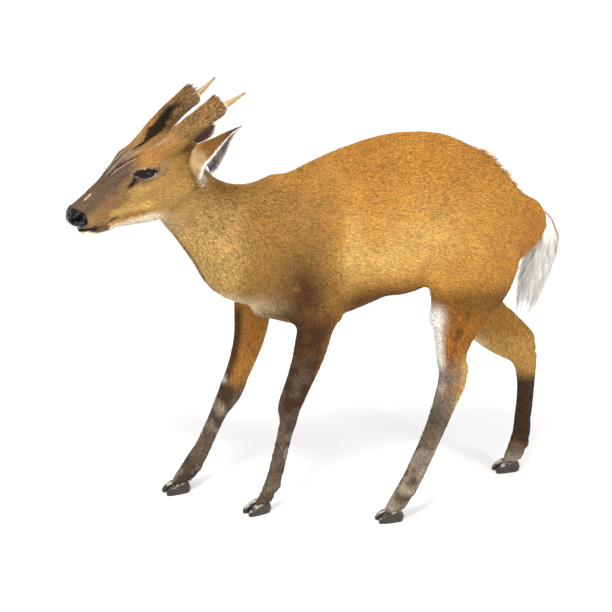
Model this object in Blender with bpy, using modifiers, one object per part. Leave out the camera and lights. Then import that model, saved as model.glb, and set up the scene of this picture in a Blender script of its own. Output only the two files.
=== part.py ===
"""A still, life-size male muntjac, caught in a slow step with its head turned a little to its left.

Metres, +Z up. The nose points to -X and the animal's left side to -Y. The origin is on the floor, under
the middle of the box round the whole animal. The body is modelled straight from tail to nose, in
millimetres, and its neck is then bent to the left. The flesh is lofted, fused and smoothed as one body,
and parted with thin plane cuts. Eyes, nose, ears, antlers, hooves and tail are pieces of their own.
"""

import math
import random
from dataclasses import dataclass

import bmesh
import bpy
from mathutils import Matrix, Vector

MM = 0.001
GAP = 0.3 * MM
SIDES = {"left": -1, "right": 1}

# How the neck turns to the left: an arc of this length, ahead of the withers.
BEND_START_X = -20
BEND_LENGTH = 150
BEND_ANGLE = math.radians(13)

# The head's own axis runs from the nose tip, at this place in the straight body, up and back at this pitch.
NOSE_TIP = (-359, 0, 459)
HEAD_PITCH = math.radians(22)

# Fineness of the fused flesh, and how many triangles each part of it keeps.
BODY_VOXEL = 2.6
HEAD_VOXEL = 1.7
BODY_TRIANGLES = 4700
HEAD_TRIANGLES = 2900
TRUNK_HEIGHT = (0.285, 0.36)

# The eyes, in the head's own frame. The opening between the lids turns outwards and falls to the rear.
EYE_RADIUS = 12.3
EYE_AT = (113, 29.3, 20)
EYE_HALF_LENGTH = 16.5
EYE_RISE = 9
EYE_DROP = 7.4
EYE_TURN = -9
EYE_SLANT = 0.19
EYE_CORNERS = 20

# The bony stalks on the brow, where each ends, and the spikes on them.
PEDICEL_RADIUS = 13.5
PEDICEL_TIPS = {"left": (243, -34, 60), "right": (235, 40, 57)}
ANTLER_LENGTH = 34
ANTLER_RADIUS = 4.2
BURR_RADIUS = 7.2

EAR_WIDTH = 46
EAR_WALL = 2.6
EAR_STEPS = 8

CORONET_HEIGHT = 16
CLEFT = 0.9
FLOOR = -4.5

TAIL_LOCKS = 23
LOCK_THICKNESS = 3.4
GOLDEN_ANGLE = 2.39996


@dataclass(frozen=True)
class Ring:
    """One section of a loft.

    It has a centre, a half width across the animal, and its reach to the front (on the trunk, to the back)
    and to the rear (to the belly). A square of 2 is an ellipse, and more is boxier. A keel above 0
    narrows the front reach, and below 0 the rear one.
    """

    at: tuple
    side: float
    front: float
    back: float
    square: float = 2.0
    keel: float = 0.0


def catmull(a, b, c, d, t):
    """The point at t between b and c on a smooth curve through four values."""
    return 0.5 * (2 * b + (c - a) * t + (2 * a - 5 * b + 4 * c - d) * t * t + (3 * b - 3 * c + d - a) * t**3)


def between(rings, steps):
    """The rings with steps - 1 more set smoothly between each two."""
    values = [(*r.at, r.side, r.front, r.back, r.square, r.keel) for r in rings]
    padded = [values[0], *values, values[-1]]
    made = []
    for i in range(len(values) - 1):
        for step in range(steps):
            row = [catmull(*(p[k] for p in padded[i : i + 4]), step / steps) for k in range(8)]
            made.append(row)
    return [*made, list(values[-1])]


def section(row, tangent, across, sides):
    """The points of one section, square to the tangent."""
    x, y, z, side, front, back, square, keel = row
    lateral = (across - tangent * across.dot(tangent)).normalized()
    forward = lateral.cross(tangent).normalized()
    points = []
    for i in range(sides):
        angle = 2 * math.pi * i / sides
        c, s = math.cos(angle), math.sin(angle)
        reach = (abs(c) ** square + abs(s) ** square) ** (-1 / square)
        narrow = 1 - keel * s if keel * s > 0 else 1
        depth = front if s > 0 else back
        offset = lateral * (c * reach * side * narrow) + forward * (s * reach * depth)
        points.append(Vector((x, y, z)) + offset)
    return points


def new_object(name, mesh):
    """An object for the mesh, in the scene's own collection."""
    made = bpy.data.objects.new(name, mesh)
    bpy.context.scene.collection.objects.link(made)
    return made


def loft(name, rings, sides=20, steps=4, across=(0, 1, 0), place=None):
    """A closed body through the rings, rounded at both ends."""
    rows = between(rings, steps)
    centres = [Vector(r[:3]) for r in rows]
    across = Vector(across)
    bm = bmesh.new()
    loops = []
    for i, row in enumerate(rows):
        tangent = (centres[min(i + 1, len(rows) - 1)] - centres[max(i - 1, 0)]).normalized()
        loops.append([bm.verts.new(p) for p in section(row, tangent, across, sides)])
    for a, b in zip(loops, loops[1:]):
        for i in range(sides):
            j = (i + 1) % sides
            bm.faces.new((a[i], a[j], b[j], b[i]))
    for loop, centre, towards in ((loops[0], centres[0], centres[1]), (loops[-1], centres[-1], centres[-2])):
        out = (centre - towards).normalized()
        reach = min((v.co - centre).length for v in loop) * 0.45
        inner = [bm.verts.new(centre + (v.co - centre) * 0.72 + out * reach * 0.7) for v in loop]
        tip = bm.verts.new(centre + out * reach)
        for i in range(sides):
            j = (i + 1) % sides
            bm.faces.new((loop[i], loop[j], inner[j], inner[i]))
            bm.faces.new((inner[i], inner[j], tip))
    return finish_mesh(name, bm, place)


def finish_mesh(name, bm, place=None):
    """The bmesh as an object in metres, its faces outwards, each point put where place says."""
    for v in bm.verts:
        v.co = (place(v.co) if place else v.co) * MM
    bmesh.ops.recalc_face_normals(bm, faces=bm.faces)
    mesh = bpy.data.meshes.new(name)
    bm.to_mesh(mesh)
    bm.free()
    return new_object(name, mesh)


def ball(name, centre, radii, turn=None, place=None, segments=20, rings=12):
    """An ellipsoid of these half sizes, turned by a matrix, at a centre in millimetres."""
    bm = bmesh.new()
    bmesh.ops.create_uvsphere(bm, u_segments=segments, v_segments=rings, radius=1)
    turn = turn or Matrix.Identity(3)
    for v in bm.verts:
        v.co = turn @ Vector(c * r for c, r in zip(v.co, radii)) + Vector(centre)
    return finish_mesh(name, bm, place)


def box(name, low, high, place=None):
    """A box between two corners in millimetres."""
    bm = bmesh.new()
    bmesh.ops.create_cube(bm, size=1)
    low, high = Vector(low), Vector(high)
    for v in bm.verts:
        v.co = (low + high) / 2 + Vector(c * s for c, s in zip(v.co, high - low))
    return finish_mesh(name, bm, place)


def bend(p):
    """Where a point of the straight body goes when the neck turns."""
    x, y, z = p
    s = BEND_START_X - x
    if s <= 0:
        return Vector(p)
    radius = BEND_LENGTH / BEND_ANGLE
    angle = min(s / radius, BEND_ANGLE)
    over = s - angle * radius
    centre_x = BEND_START_X - radius * math.sin(angle) - over * math.cos(angle)
    centre_y = -radius * (1 - math.cos(angle)) - over * math.sin(angle)
    return Vector((centre_x - y * math.sin(angle), centre_y + y * math.cos(angle), z))


def head(p):
    """Where a point of the head's own frame goes, given along from the nose tip, across and above."""
    along, across, above = p
    c, s = math.cos(HEAD_PITCH), math.sin(HEAD_PITCH)
    nose = Vector(NOSE_TIP)
    return bend(nose + Vector((along * c - above * s, across, along * s + above * c)))


def evaluated_mesh(obj):
    """The object's mesh with its modifiers applied."""
    graph = bpy.context.evaluated_depsgraph_get()
    graph.update()
    return bpy.data.meshes.new_from_object(obj.evaluated_get(graph))


def apply_modifiers(obj):
    """Puts the modified mesh in the object's place."""
    made = evaluated_mesh(obj)
    obj.modifiers.clear()
    obj.data = made
    return obj


def remove(*objects):
    """Deletes the objects."""
    for obj in objects:
        bpy.data.objects.remove(obj)


def fuse(name, pieces, voxel, smooth, triangles, trunk_smooth=0):
    """The pieces as one smooth closed body with about this many triangles, and a softer trunk."""
    bm = bmesh.new()
    for piece in pieces:
        bm.from_mesh(piece.data)
    mesh = bpy.data.meshes.new(name)
    bm.to_mesh(mesh)
    bm.free()
    remove(*pieces)
    body = new_object(name, mesh)
    remesh = body.modifiers.new("fuse", "REMESH")
    remesh.mode = "VOXEL"
    remesh.voxel_size = voxel * MM
    remesh.adaptivity = 0
    soften = body.modifiers.new("soften", "SMOOTH")
    soften.factor = 0.5
    soften.iterations = smooth
    apply_modifiers(body)
    if trunk_smooth:
        low, high = TRUNK_HEIGHT
        group = body.vertex_groups.new(name="trunk")
        for v in body.data.vertices:
            group.add([v.index], min(max((v.co.z - low) / (high - low), 0), 1), "REPLACE")
        soften = body.modifiers.new("soften_trunk", "SMOOTH")
        soften.factor = 0.5
        soften.iterations = trunk_smooth
        soften.vertex_group = "trunk"
        apply_modifiers(body)
        body.vertex_groups.clear()
    faces = 2 * len(body.data.polygons)
    thin = body.modifiers.new("thin", "DECIMATE")
    thin.ratio = min(1, triangles / faces)
    apply_modifiers(body)
    return keep_largest(body)


def keep_largest(obj):
    """Leaves only the closed surface with the most faces."""
    bm = bmesh.new()
    bm.from_mesh(obj.data)
    seen, groups = set(), []
    for start in bm.faces:
        if start in seen:
            continue
        group, todo = [], [start]
        seen.add(start)
        while todo:
            face = todo.pop()
            group.append(face)
            for edge in face.edges:
                for other in edge.link_faces:
                    if other not in seen:
                        seen.add(other)
                        todo.append(other)
        groups.append(group)
    groups.sort(key=len)
    for group in groups[:-1]:
        bmesh.ops.delete(bm, geom=group, context="FACES")
    bmesh.ops.delete(bm, geom=[v for v in bm.verts if not v.link_faces], context="VERTS")
    bm.to_mesh(obj.data)
    bm.free()
    return obj


def boolean(obj, other, operation, solver="EXACT"):
    """The object cut by, joined with or kept inside the other one."""
    cut = obj.modifiers.new("cut", "BOOLEAN")
    cut.operation = operation
    cut.solver = solver
    cut.object = other
    return apply_modifiers(obj)


def copy_of(obj, name):
    """A copy of the object with its own mesh."""
    return new_object(name, obj.data.copy())


def grown(obj, by):
    """A copy of the object with its surface moved out."""
    made = copy_of(obj, obj.name + "_grown")
    normals = [v.normal.copy() for v in made.data.vertices]
    for v, n in zip(made.data.vertices, normals):
        v.co += n * by
    return made


def clear_of(obj, neighbour, gap=GAP):
    """Cuts the object back from its neighbour by the gap that touching pieces keep."""
    cutter = grown(neighbour, gap)
    boolean(obj, cutter, "DIFFERENCE")
    remove(cutter)
    return keep_largest(obj)


def half(obj, point, normal, name=None):
    """Keeps what lies behind a plane, less half a gap, and closes the cut. A name makes it a copy."""
    target = copy_of(obj, name) if name else obj
    bm = bmesh.new()
    bm.from_mesh(target.data)
    normal = Vector(normal).normalized()
    at = Vector(point) - normal * GAP / 2
    geometry = [*bm.verts, *bm.edges, *bm.faces]
    cut = bmesh.ops.bisect_plane(bm, geom=geometry, plane_co=at, plane_no=normal, clear_outer=True)
    edges = [e for e in cut["geom_cut"] if isinstance(e, bmesh.types.BMEdge)]
    bmesh.ops.holes_fill(bm, edges=edges, sides=0)
    bmesh.ops.recalc_face_normals(bm, faces=bm.faces)
    bm.to_mesh(target.data)
    bm.free()
    return target


def mirrored(rings, side):
    """The rings set out for one side, with y measured outwards."""
    return [Ring((x, side * y, z), *rest) for x, y, z, *rest in rings]


def trunk():
    """The torso, from the buttocks to the front of the brisket, with its shoulders and haunches."""
    rings = [
        Ring((331, 0, 422), 26, 26, 30),
        Ring((305, 0, 412), 49, 61, 50),
        Ring((268, 0, 408), 63, 87, 76, 2.1),
        Ring((225, 0, 412), 69, 109, 92, 2.1, 0.12),
        Ring((180, 0, 416), 71, 126, 98, 2.1, 0.16),
        Ring((130, 0, 420), 76, 127, 98, 2.1, 0.16),
        Ring((80, 0, 412), 78, 121, 109, 2.1, 0.14),
        Ring((30, 0, 400), 75, 113, 117, 2.1, 0.14),
        Ring((-15, 0, 390), 68, 104, 121, 2.1, 0.2),
        Ring((-55, 0, 387), 60, 103, 108, 2.1, 0.2),
        Ring((-92, 0, 386), 50, 86, 96),
        Ring((-120, 0, 378), 39, 62, 74),
        Ring((-140, 0, 370), 22, 30, 38),
    ]
    pieces = [loft("trunk", rings, sides=28, place=bend)]
    blade, arm, thigh = (Matrix.Rotation(angle, 3, "Y") for angle in (0.32, -0.5, -0.35))
    for side in SIDES.values():
        pieces.append(ball("shoulder", (-28, side * 38, 398), (52, 27, 84), blade, bend))
        pieces.append(ball("upper_arm", (-22, side * 50, 330), (40, 23, 52), arm, bend))
        pieces.append(ball("haunch", (236, side * 37, 420), (70, 31, 86), thigh))
        pieces.append(ball("flank", (115, side * 30, 399), (88, 50, 82)))
    return pieces


def neck(name="neck"):
    """The neck, from inside the shoulders to inside the back of the skull."""
    rings = [
        Ring((-30, 0, 398), 58, 88, 104),
        Ring((-85, 0, 410), 51, 86, 104),
        Ring((-126, 0, 432), 44, 54, 79),
        Ring((-160, 0, 454), 40, 43, 61),
        Ring((-190, 0, 478), 38, 42, 50),
        Ring((-214, 0, 500), 30, 30, 34),
    ]
    return loft(name, rings, sides=24, place=bend)


# Each leg from inside the trunk to the hoof: along, outwards and up, half width, reach to front and rear.
FORELEGS = {
    "left": [
        (8, 42, 392, 26, 42, 44), (-4, 50, 345, 25, 40, 42), (4, 54, 308, 21, 32, 34),
        (0, 53, 279, 18.5, 27, 27), (-5, 52, 249, 16.5, 24, 25), (-12, 50, 220, 15, 21, 22.5),
        (-21, 47, 190, 14.2, 18.5, 20), (-26, 45, 172, 14.8, 18, 19), (-29, 43, 157, 14, 16.5, 17),
        (-29, 40, 140, 11, 12.5, 15.5), (-32, 38, 122, 9.8, 10.8, 13.8), (-36, 35, 95, 9.6, 10.6, 13.6),
        (-40, 33, 72, 10.2, 11, 14.2), (-43, 31, 54, 11.4, 12, 14.6), (-48, 29, 38, 11.6, 12.6, 14),
        (-54, 28, 20, 12.2, 13.2, 13.6), (-60, 27, 4, 11.5, 12.5, 12),
    ],
    "right": [
        (-34, 42, 392, 26, 42, 44), (-49, 50, 345, 25, 38, 40), (-60, 54, 302, 21, 33, 34),
        (-63, 55, 266, 18.5, 28, 27.5), (-66, 55, 235, 16.5, 23.5, 25), (-72, 56, 205, 15, 20.5, 21.5),
        (-81, 57, 176, 14.2, 18, 19), (-88, 57, 156, 14.8, 17.5, 20), (-94, 58, 141, 14, 16, 19),
        (-103, 60, 124, 11, 12.4, 16.5), (-110, 61, 106, 9.8, 11, 15), (-119, 63, 82, 9.6, 10.8, 15),
        (-127, 63, 62, 10.2, 11.2, 15.5), (-135, 63, 47, 11.4, 12.4, 16.5),
        (-143, 62, 33, 11.8, 12.8, 15.5), (-152, 60, 18, 12.4, 13.4, 14.5), (-159, 59, 4, 11.5, 12.5, 12),
    ],
}
HINDLEGS = {
    "left": [
        (218, 34, 430, 32, 58, 66), (214, 50, 382, 30, 58, 82), (206, 61, 336, 26, 50, 72),
        (200, 66, 300, 21.5, 38, 52), (196, 69, 262, 17, 28, 31), (196, 70, 236, 14.5, 23, 23),
        (198, 71, 214, 13.4, 20.5, 23), (197, 72, 197, 13.8, 20.5, 23), (191, 74, 177, 13.8, 18.5, 19),
        (183, 76, 156, 12.2, 15.8, 18.5), (173, 79, 130, 11, 13.8, 18), (162, 81, 102, 10.8, 13.4, 17.5),
        (152, 82, 78, 11, 13.6, 17.5), (144, 82, 58, 11.8, 13.8, 17.6), (136, 81, 40, 12, 13.8, 15),
        (127, 80, 20, 12.4, 14, 14), (121, 79, 4, 11.5, 13, 12.5),
    ],
    "right": [
        (238, 34, 430, 32, 58, 60), (244, 50, 380, 30, 58, 58), (250, 58, 335, 27, 50, 46),
        (260, 63, 292, 23, 44, 40), (279, 66, 254, 19, 40, 36), (304, 68, 225, 16.5, 36, 33),
        (329, 69, 204, 14.5, 31, 28), (347, 70, 187, 14, 25, 24), (355, 70, 168, 13.8, 19, 18),
        (358, 71, 146, 12, 16, 14.4), (359, 72, 122, 10.8, 14, 13.6), (359, 73, 98, 10.4, 13.6, 13.6),
        (358, 74, 76, 10.6, 13.6, 14), (358, 74, 57, 11.4, 14, 15), (354, 74, 38, 11.8, 14, 14.4),
        (349, 74, 20, 12.2, 14, 14), (345, 74, 4, 11.5, 13, 12.5),
    ],
}

# Where each hoof stands on the floor, in millimetres, and which way its toes point from straight ahead.
FEET = {
    ("fore", "left"): ((-61, -27), 22),
    ("fore", "right"): ((-160, 59), 16),
    ("hind", "left"): ((120, -79), 8),
    ("hind", "right"): ((341, 74), 8),
}


def legs():
    """The four legs, with a heel bone behind each hock, an elbow, and the small dewclaws' pads."""
    pieces = []
    for name, side in SIDES.items():
        pieces.append(loft(f"foreleg_{name}", mirrored(FORELEGS[name], side), sides=16, steps=3))
        pieces.append(loft(f"hindleg_{name}", mirrored(HINDLEGS[name], side), sides=16, steps=3))
        elbow = FORELEGS[name][2]
        pieces.append(ball("elbow", (elbow[0] + 24, side * elbow[1], elbow[2] - 2), (15, 11, 19)))
        knee = FORELEGS[name][7]
        pieces.append(ball("knee", (knee[0] - 5, side * knee[1], knee[2]), (13, 13.5, 18)))
    for side, hock in ((-1, (214, 71, 212)), (1, (368, 70, 204))):
        x, y, z = hock
        pieces.append(ball("heel", (x, side * y, z), (9, 8.5, 17), Matrix.Rotation(0.25, 3, "Y")))
    pieces.append(ball("tendon", (211, -71, 238), (7, 6.5, 30), Matrix.Rotation(-0.12, 3, "Y")))
    stifles = {"left": (185, -60, 306), "right": (246, 60, 272)}
    for x, y, z in stifles.values():
        pieces.append(ball("stifle", (x, y, z), (22, 18, 32), Matrix.Rotation(0.5, 3, "Y")))
    for limb, name in FEET:
        x, y, z = (FORELEGS if limb == "fore" else HINDLEGS)[name][-3][:3]
        for shift in (-7, 7):
            pieces.append(ball("dewclaw", (x + 13.5, SIDES[name] * y + shift, z + 1), (5, 4.4, 6.5)))
    return pieces


def skull():
    """The head's flesh, in its own frame: braincase and muzzle, jaw, cheeks, brows, ridges and pedicels."""
    upper = [
        Ring((202, 0, -10), 24, 18, 24),
        Ring((185, 0, -6), 35, 32, 36),
        Ring((160, 0, 0), 39, 42, 44),
        Ring((135, 0, 2), 39, 42, 46),
        Ring((112, 0, 1), 35, 40.5, 42, 2.2),
        Ring((92, 0, -1), 29, 37, 38, 2.3),
        Ring((70, 0, -4), 23.5, 31, 32, 2.4, 0.1),
        Ring((50, 0, -5), 19.5, 27, 27, 2.5, 0.1),
        Ring((32, 0, -6), 17.5, 22, 22, 2.5),
        Ring((18, 0, -6), 16, 18.5, 18.5, 2.5),
        Ring((8, 0, -6), 14.4, 14, 14.5, 2.4),
        Ring((2, 0, -6), 10.5, 9, 9.5, 2.2),
    ]
    lower = [
        Ring((168, 0, -30), 28, 30, 24),
        Ring((146, 0, -36), 33, 34, 28),
        Ring((121, 0, -43), 31, 30, 23),
        Ring((100, 0, -44), 25, 24, 17.5),
        Ring((80, 0, -41), 19, 19, 14),
        Ring((60, 0, -37.5), 15, 15, 11.5),
        Ring((40, 0, -34.5), 13, 12, 10),
        Ring((22, 0, -31), 11.6, 9.5, 9),
        Ring((11, 0, -28.5), 9, 7.5, 6.5),
        Ring((7, 0, -27.5), 5.5, 4.5, 4),
    ]
    pieces = [
        loft("upper", upper, sides=28, place=head),
        loft("lower", lower, sides=20, place=head),
    ]
    for name, side in SIDES.items():
        tip = PEDICEL_TIPS[name]
        x, y, z = EYE_AT
        turn = Matrix.Rotation(side * 0.3, 3, "Z")
        pieces.append(ball("orbit", (x + 1, side * (y - 3), z), (26, 15, 18.5), turn, head))
        pieces.append(ball("brow", (x + 2, side * (y - 8), z + 11), (26, 11.5, 8), turn, head))
        pieces.append(ball("cheek", (122, side * 22, -22), (54, 13, 30), turn, head))
        pieces.append(ball("nostril_wing", (13, side * 10.5, -1), (10, 6, 9), None, head))
        pieces.append(ball("lip", (28, side * 11.5, -18), (22, 6.5, 8), Matrix.Rotation(0.25, 3, "Y"), head))
        ridge = [
            Ring((tip[0] + 4, tip[1], tip[2] + 1), PEDICEL_RADIUS, 15, 15),
            Ring((tip[0] - 22, tip[1] - side * 1.5, tip[2] - 6), PEDICEL_RADIUS, 15, 15),
            Ring((195, side * 32.5, 49), 13.5, 15, 16),
            Ring((170, side * 30, 43), 13.5, 14, 20),
            Ring((148, side * 27, 37.5), 11.5, 11, 20),
            Ring((124, side * 23, 33.5), 8.5, 8.5, 18),
            Ring((100, side * 18.5, 30), 6.5, 7, 14),
            Ring((78, side * 14, 24), 5, 5.5, 10),
            Ring((58, side * 10.5, 17), 4, 4, 6),
        ]
        pieces.append(loft("ridge", ridge, sides=14, steps=3, place=head))
    return pieces


def eye(side):
    """An eyeball with a slightly bulging cornea."""
    x, y, z = EYE_AT
    return ball(f"eye_{side}", (x, SIDES[side] * y, z), (EYE_RADIUS,) * 3, None, head, 18, 10)


def open_eye(flesh, side):
    """Cuts the socket for the eyeball and the almond opening between its lids."""
    x, y, z = EYE_AT
    sign = SIDES[side]
    socket = ball("socket", (x, sign * y, z), (EYE_RADIUS + GAP / MM,) * 3, None, head, 18, 10)
    boolean(flesh, socket, "DIFFERENCE")
    almond = bmesh.new()
    outer, inner = [], []
    for i in range(EYE_CORNERS):
        angle = 2 * math.pi * i / EYE_CORNERS
        c, s = math.cos(angle), math.sin(angle)
        along = EYE_HALF_LENGTH * c
        above = (EYE_RISE if s > 0 else EYE_DROP) * s * abs(s) ** 0.25
        slant = -along * EYE_SLANT
        wide = (x + along * 1.25 + EYE_TURN, sign * (y + 26), z + above * 1.5 + slant)
        narrow = (x + along * 0.9, sign * (y + 3.5), z + above * 0.92 + slant)
        outer.append(almond.verts.new(wide))
        inner.append(almond.verts.new(narrow))
    for i in range(EYE_CORNERS):
        j = (i + 1) % EYE_CORNERS
        almond.faces.new((outer[i], outer[j], inner[j], inner[i]))
    almond.faces.new(outer)
    almond.faces.new(inner)
    bmesh.ops.triangulate(almond, faces=almond.faces)
    cutter = finish_mesh("almond", almond, head)
    boolean(flesh, cutter, "DIFFERENCE")
    remove(socket, cutter)
    return keep_largest(flesh)


def slab(name, path, low, high, thick, place):
    """A thin slab along a path of (along, above) points, reaching across from low to high."""
    bm = bmesh.new()
    rows = []
    for i, (u, v) in enumerate(path):
        a, b = path[max(i - 1, 0)], path[min(i + 1, len(path) - 1)]
        run = Vector((b[0] - a[0], 0, b[1] - a[1])).normalized()
        up = Vector((-run.z, 0, run.x)) * thick / 2
        corners = ((1, low), (1, high), (-1, high), (-1, low))
        rows.append([bm.verts.new(Vector((u, y, v)) + up * s) for s, y in corners])
    for a, b in zip(rows, rows[1:]):
        for i in range(4):
            j = (i + 1) % 4
            bm.faces.new((a[i], a[j], b[j], b[i]))
    bm.faces.new(rows[0])
    bm.faces.new(rows[-1])
    bmesh.ops.triangulate(bm, faces=bm.faces)
    return finish_mesh(name, bm, place)


def cut_features(flesh):
    """Cuts the mouth, the nostrils and the slits of the scent glands in front of the eyes."""
    mouth = slab("mouth", [(-12, -20.5), (2, -21.5), (14, -25), (27, -30), (40, -33.5)], -30, 30, 1.2, head)
    boolean(flesh, mouth, "DIFFERENCE")
    remove(mouth)
    for side in SIDES.values():
        low, high = sorted((side * 24.5, side * 45))
        gland = slab("gland", [(97, 20), (92, 17.5), (84, 12)], low, high, 1.6, head)
        boolean(flesh, gland, "DIFFERENCE")
        remove(gland)
    return keep_largest(flesh)


def nostrils(pad):
    """Cuts a nostril into each side of the nose pad."""
    for side in SIDES.values():
        turn = Matrix.Rotation(side * 0.6, 3, "Z") @ Matrix.Rotation(0.5, 3, "Y")
        hole = ball("nostril", (2.5, side * 9.5, -1.5), (5.5, 2.6, 3.6), turn, head, 10, 6)
        boolean(pad, hole, "DIFFERENCE")
        remove(hole)
    return keep_largest(pad)


# How each ear lies, in the frame of the unbent body: its base, the way it points, and the way its cup opens.
EARS = {
    "left": ((-203, -42, 522), (0.52, -0.57, 0.70), (0.80, 0.10, -0.58), 100),
    "right": ((-203, 40, 531), (0.90, 0.36, 0.12), (-0.10, 0.35, 0.93), 86),
}


def ear(side):
    """A leaf-shaped ear, rolled to a tube at its base and open to the tip, with a wall of even thickness."""
    base, along, towards, length = EARS[side]
    base, along, towards = Vector(base), Vector(along).normalized(), Vector(towards)
    towards = (towards - along * towards.dot(along)).normalized()
    width = along.cross(towards)
    bm = bmesh.new()
    outside, inside = [], []
    for i in range(EAR_STEPS + 1):
        t = i / EAR_STEPS
        # The leaf is rolled well round at its base and opens towards the tip.
        half_arc = 2.25 - 1.35 * t**0.7
        swell = 0.62 + 0.38 * math.sin(min(t / 0.36, 1) * math.pi / 2)
        taper = 1 - max(0, (t - 0.34) / 0.68) ** 1.5
        radius = EAR_WIDTH / 2 * swell * taper / math.sin(min(half_arc, math.pi / 2))
        middle = base + along * length * t - towards * 7 * math.sin(math.pi * t)
        wall = EAR_WALL * (1.25 - 0.45 * t)
        for rows, r in ((outside, radius), (inside, max(radius - wall, radius * 0.45))):
            row = []
            for k in range(EAR_STEPS + 1):
                angle = half_arc * (2 * k / EAR_STEPS - 1)
                depth = r * math.cos(angle) - radius * 0.6
                row.append(bm.verts.new(middle + width * (r * math.sin(angle)) - towards * depth))
            rows.append(row)
    for grid in (outside, inside):
        for a, b in zip(grid, grid[1:]):
            for k in range(EAR_STEPS):
                bm.faces.new((a[k], a[k + 1], b[k + 1], b[k]))
    for k in (0, EAR_STEPS):
        for i in range(EAR_STEPS):
            bm.faces.new((outside[i][k], outside[i + 1][k], inside[i + 1][k], inside[i][k]))
    for i in (0, EAR_STEPS):
        for k in range(EAR_STEPS):
            bm.faces.new((outside[i][k], outside[i][k + 1], inside[i][k + 1], inside[i][k]))
    bmesh.ops.triangulate(bm, faces=bm.faces)
    return finish_mesh(f"ear_{side}", bm, bend)


def antler(side):
    """A short spike with a thick burr at its base."""
    sign = SIDES[side]
    start = Vector(PEDICEL_TIPS[side]) + Vector((2, 0, -6))
    way = Vector((0.97, sign * 0.03, 0.12)).normalized()
    burr, r = BURR_RADIUS, ANTLER_RADIUS
    stations = [
        (-4, burr - 1.2), (1, burr), (4.5, burr - 0.2), (6.5, r + 0.4), (16, r * 0.86), (27, r * 0.6),
        (ANTLER_LENGTH + 3, r * 0.3),
    ]
    rings = [Ring(tuple(start + way * s), w, w, w) for s, w in stations]
    at, normal = head_plane(start, way)
    return loft(f"antler_{side}", rings, sides=10, steps=1, place=head), at, normal


def claw(limb, side, which):
    """One of a foot's two claws, flat beneath."""
    (x, y), toe = FEET[limb, side]
    spread = which * 0.05
    sole = [
        (15, 6.6, 6, 3.2, 4, 8), (11, 6.7, 7, 5.4, 10, 10), (2, 6.6, 8, 6.2, 15, 11.5),
        (-9, 6.6, 7, 5.8, 10.5, 10), (-17, 6.4, 4, 4.4, 5.5, 6), (-21, 6.1, 2.6, 2.6, 2.8, 3.8),
    ]
    turn = Matrix.Rotation(math.radians(toe), 3, "Z")
    rings = [Ring((fx, which * fy - fx * spread, fz), w, up, down, 2.6) for fx, fy, fz, w, up, down in sole]

    def stand(p):
        return turn @ Vector((p.x, p.y, max(p.z, 0))) + Vector((x, y, FLOOR))

    place_name = "outer" if which == SIDES[side] else "inner"
    return loft(f"claw_{limb}_{side}_{place_name}", rings, sides=12, steps=1, place=stand)


# The tail's outline from its root to its lowest tips: rings as in a loft.
TAIL = [
    Ring((314, 0, 434), 15, 10, 12), Ring((333, 0, 417), 17, 13, 15), Ring((341, 0, 390), 19, 18, 16),
    Ring((339, 0, 358), 21, 23, 15), Ring((336, 0, 328), 20, 24, 13), Ring((332, 0, 300), 15, 19, 10),
    Ring((328, 0, 276), 7, 9, 5),
]


def tail_ring(height):
    """The tail's outline at a height: its middle, half width, and reach to the front and the rear."""
    rows = [(*r.at, r.side, r.front, r.back) for r in TAIL]
    for upper, lower in zip(rows, rows[1:]):
        if height >= lower[2]:
            break
    t = min(max((upper[2] - height) / (upper[2] - lower[2]), 0), 1)
    return [a + (b - a) * t for a, b in zip(upper, lower)]


def tail_point(height, angle, reach):
    """A point at an angle round the tail, at a share of its outline's reach, and the way out from it."""
    x, y, _, side, front, back = tail_ring(height)
    c, s = math.cos(angle), math.sin(angle)
    out = Vector((-front * s if s > 0 else -back * s, side * c, 0))
    return Vector((x, y, height)) + out * reach, out.normalized()


def tail_lock(bm, angle, top, bottom, width, lift):
    """Adds one flat lock, rooted in the tail's core, following its outline down and narrowing to a tip."""
    loops = []
    # How far down each station is, its share of the tail's reach, and its shares of the width and thickness.
    for t, reach, wide, thick in (
        (0.0, 0.42, 0.75, 1), (0.22, 0.84, 1, 1),
        (0.52, 0.93 + lift, 0.86, 0.85), (0.8, 0.96 + lift, 0.5, 0.6),
    ):
        middle, out = tail_point(top + (bottom - top) * t, angle + 0.22 * lift * t, reach)
        across = Vector((-out.y, out.x, 0))
        half_wide, half_thick = width * wide / 2, LOCK_THICKNESS * thick / 2
        ways = (across * half_wide, out * half_thick, -across * half_wide, -out * half_thick)
        loops.append([bm.verts.new(middle + way) for way in ways])
    for a, b in zip(loops, loops[1:]):
        for i in range(4):
            j = (i + 1) % 4
            bm.faces.new((a[i], a[j], b[j], b[i]))
    tip = bm.verts.new(tail_point(bottom, angle + 0.22 * lift, 0.9 + lift)[0])
    for i in range(4):
        bm.faces.new((loops[-1][i], loops[-1][(i + 1) % 4], tip))
    bm.faces.new(loops[0])


def tail():
    """The hanging tail: a core from the rump to half way down, and long locks over it."""
    core_rings = []
    for ring, share in zip(TAIL, (1, 0.95, 0.8, 0.5)):
        core_rings.append(Ring(ring.at, ring.side * share, ring.front * share, ring.back * share))
    core = loft("tail", core_rings, sides=14, steps=2)
    rng = random.Random(7)
    bm = bmesh.new()
    for i in range(TAIL_LOCKS):
        row = i / TAIL_LOCKS
        angle = i * GOLDEN_ANGLE
        top = 408 - 46 * row + rng.uniform(-3, 3)
        bottom = 322 - 46 * row**0.7 + rng.uniform(-7, 7)
        tail_lock(bm, angle, top, bottom, rng.uniform(11, 16), rng.uniform(-0.06, 0.08))
    bmesh.ops.triangulate(bm, faces=bm.faces)
    locks = finish_mesh("locks", bm)
    join = core.modifiers.new("join", "BOOLEAN")
    join.operation = "UNION"
    join.solver = "EXACT"
    join.use_self = True
    join.object = locks
    apply_modifiers(core)
    remove(locks)
    return keep_largest(core)


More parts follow.
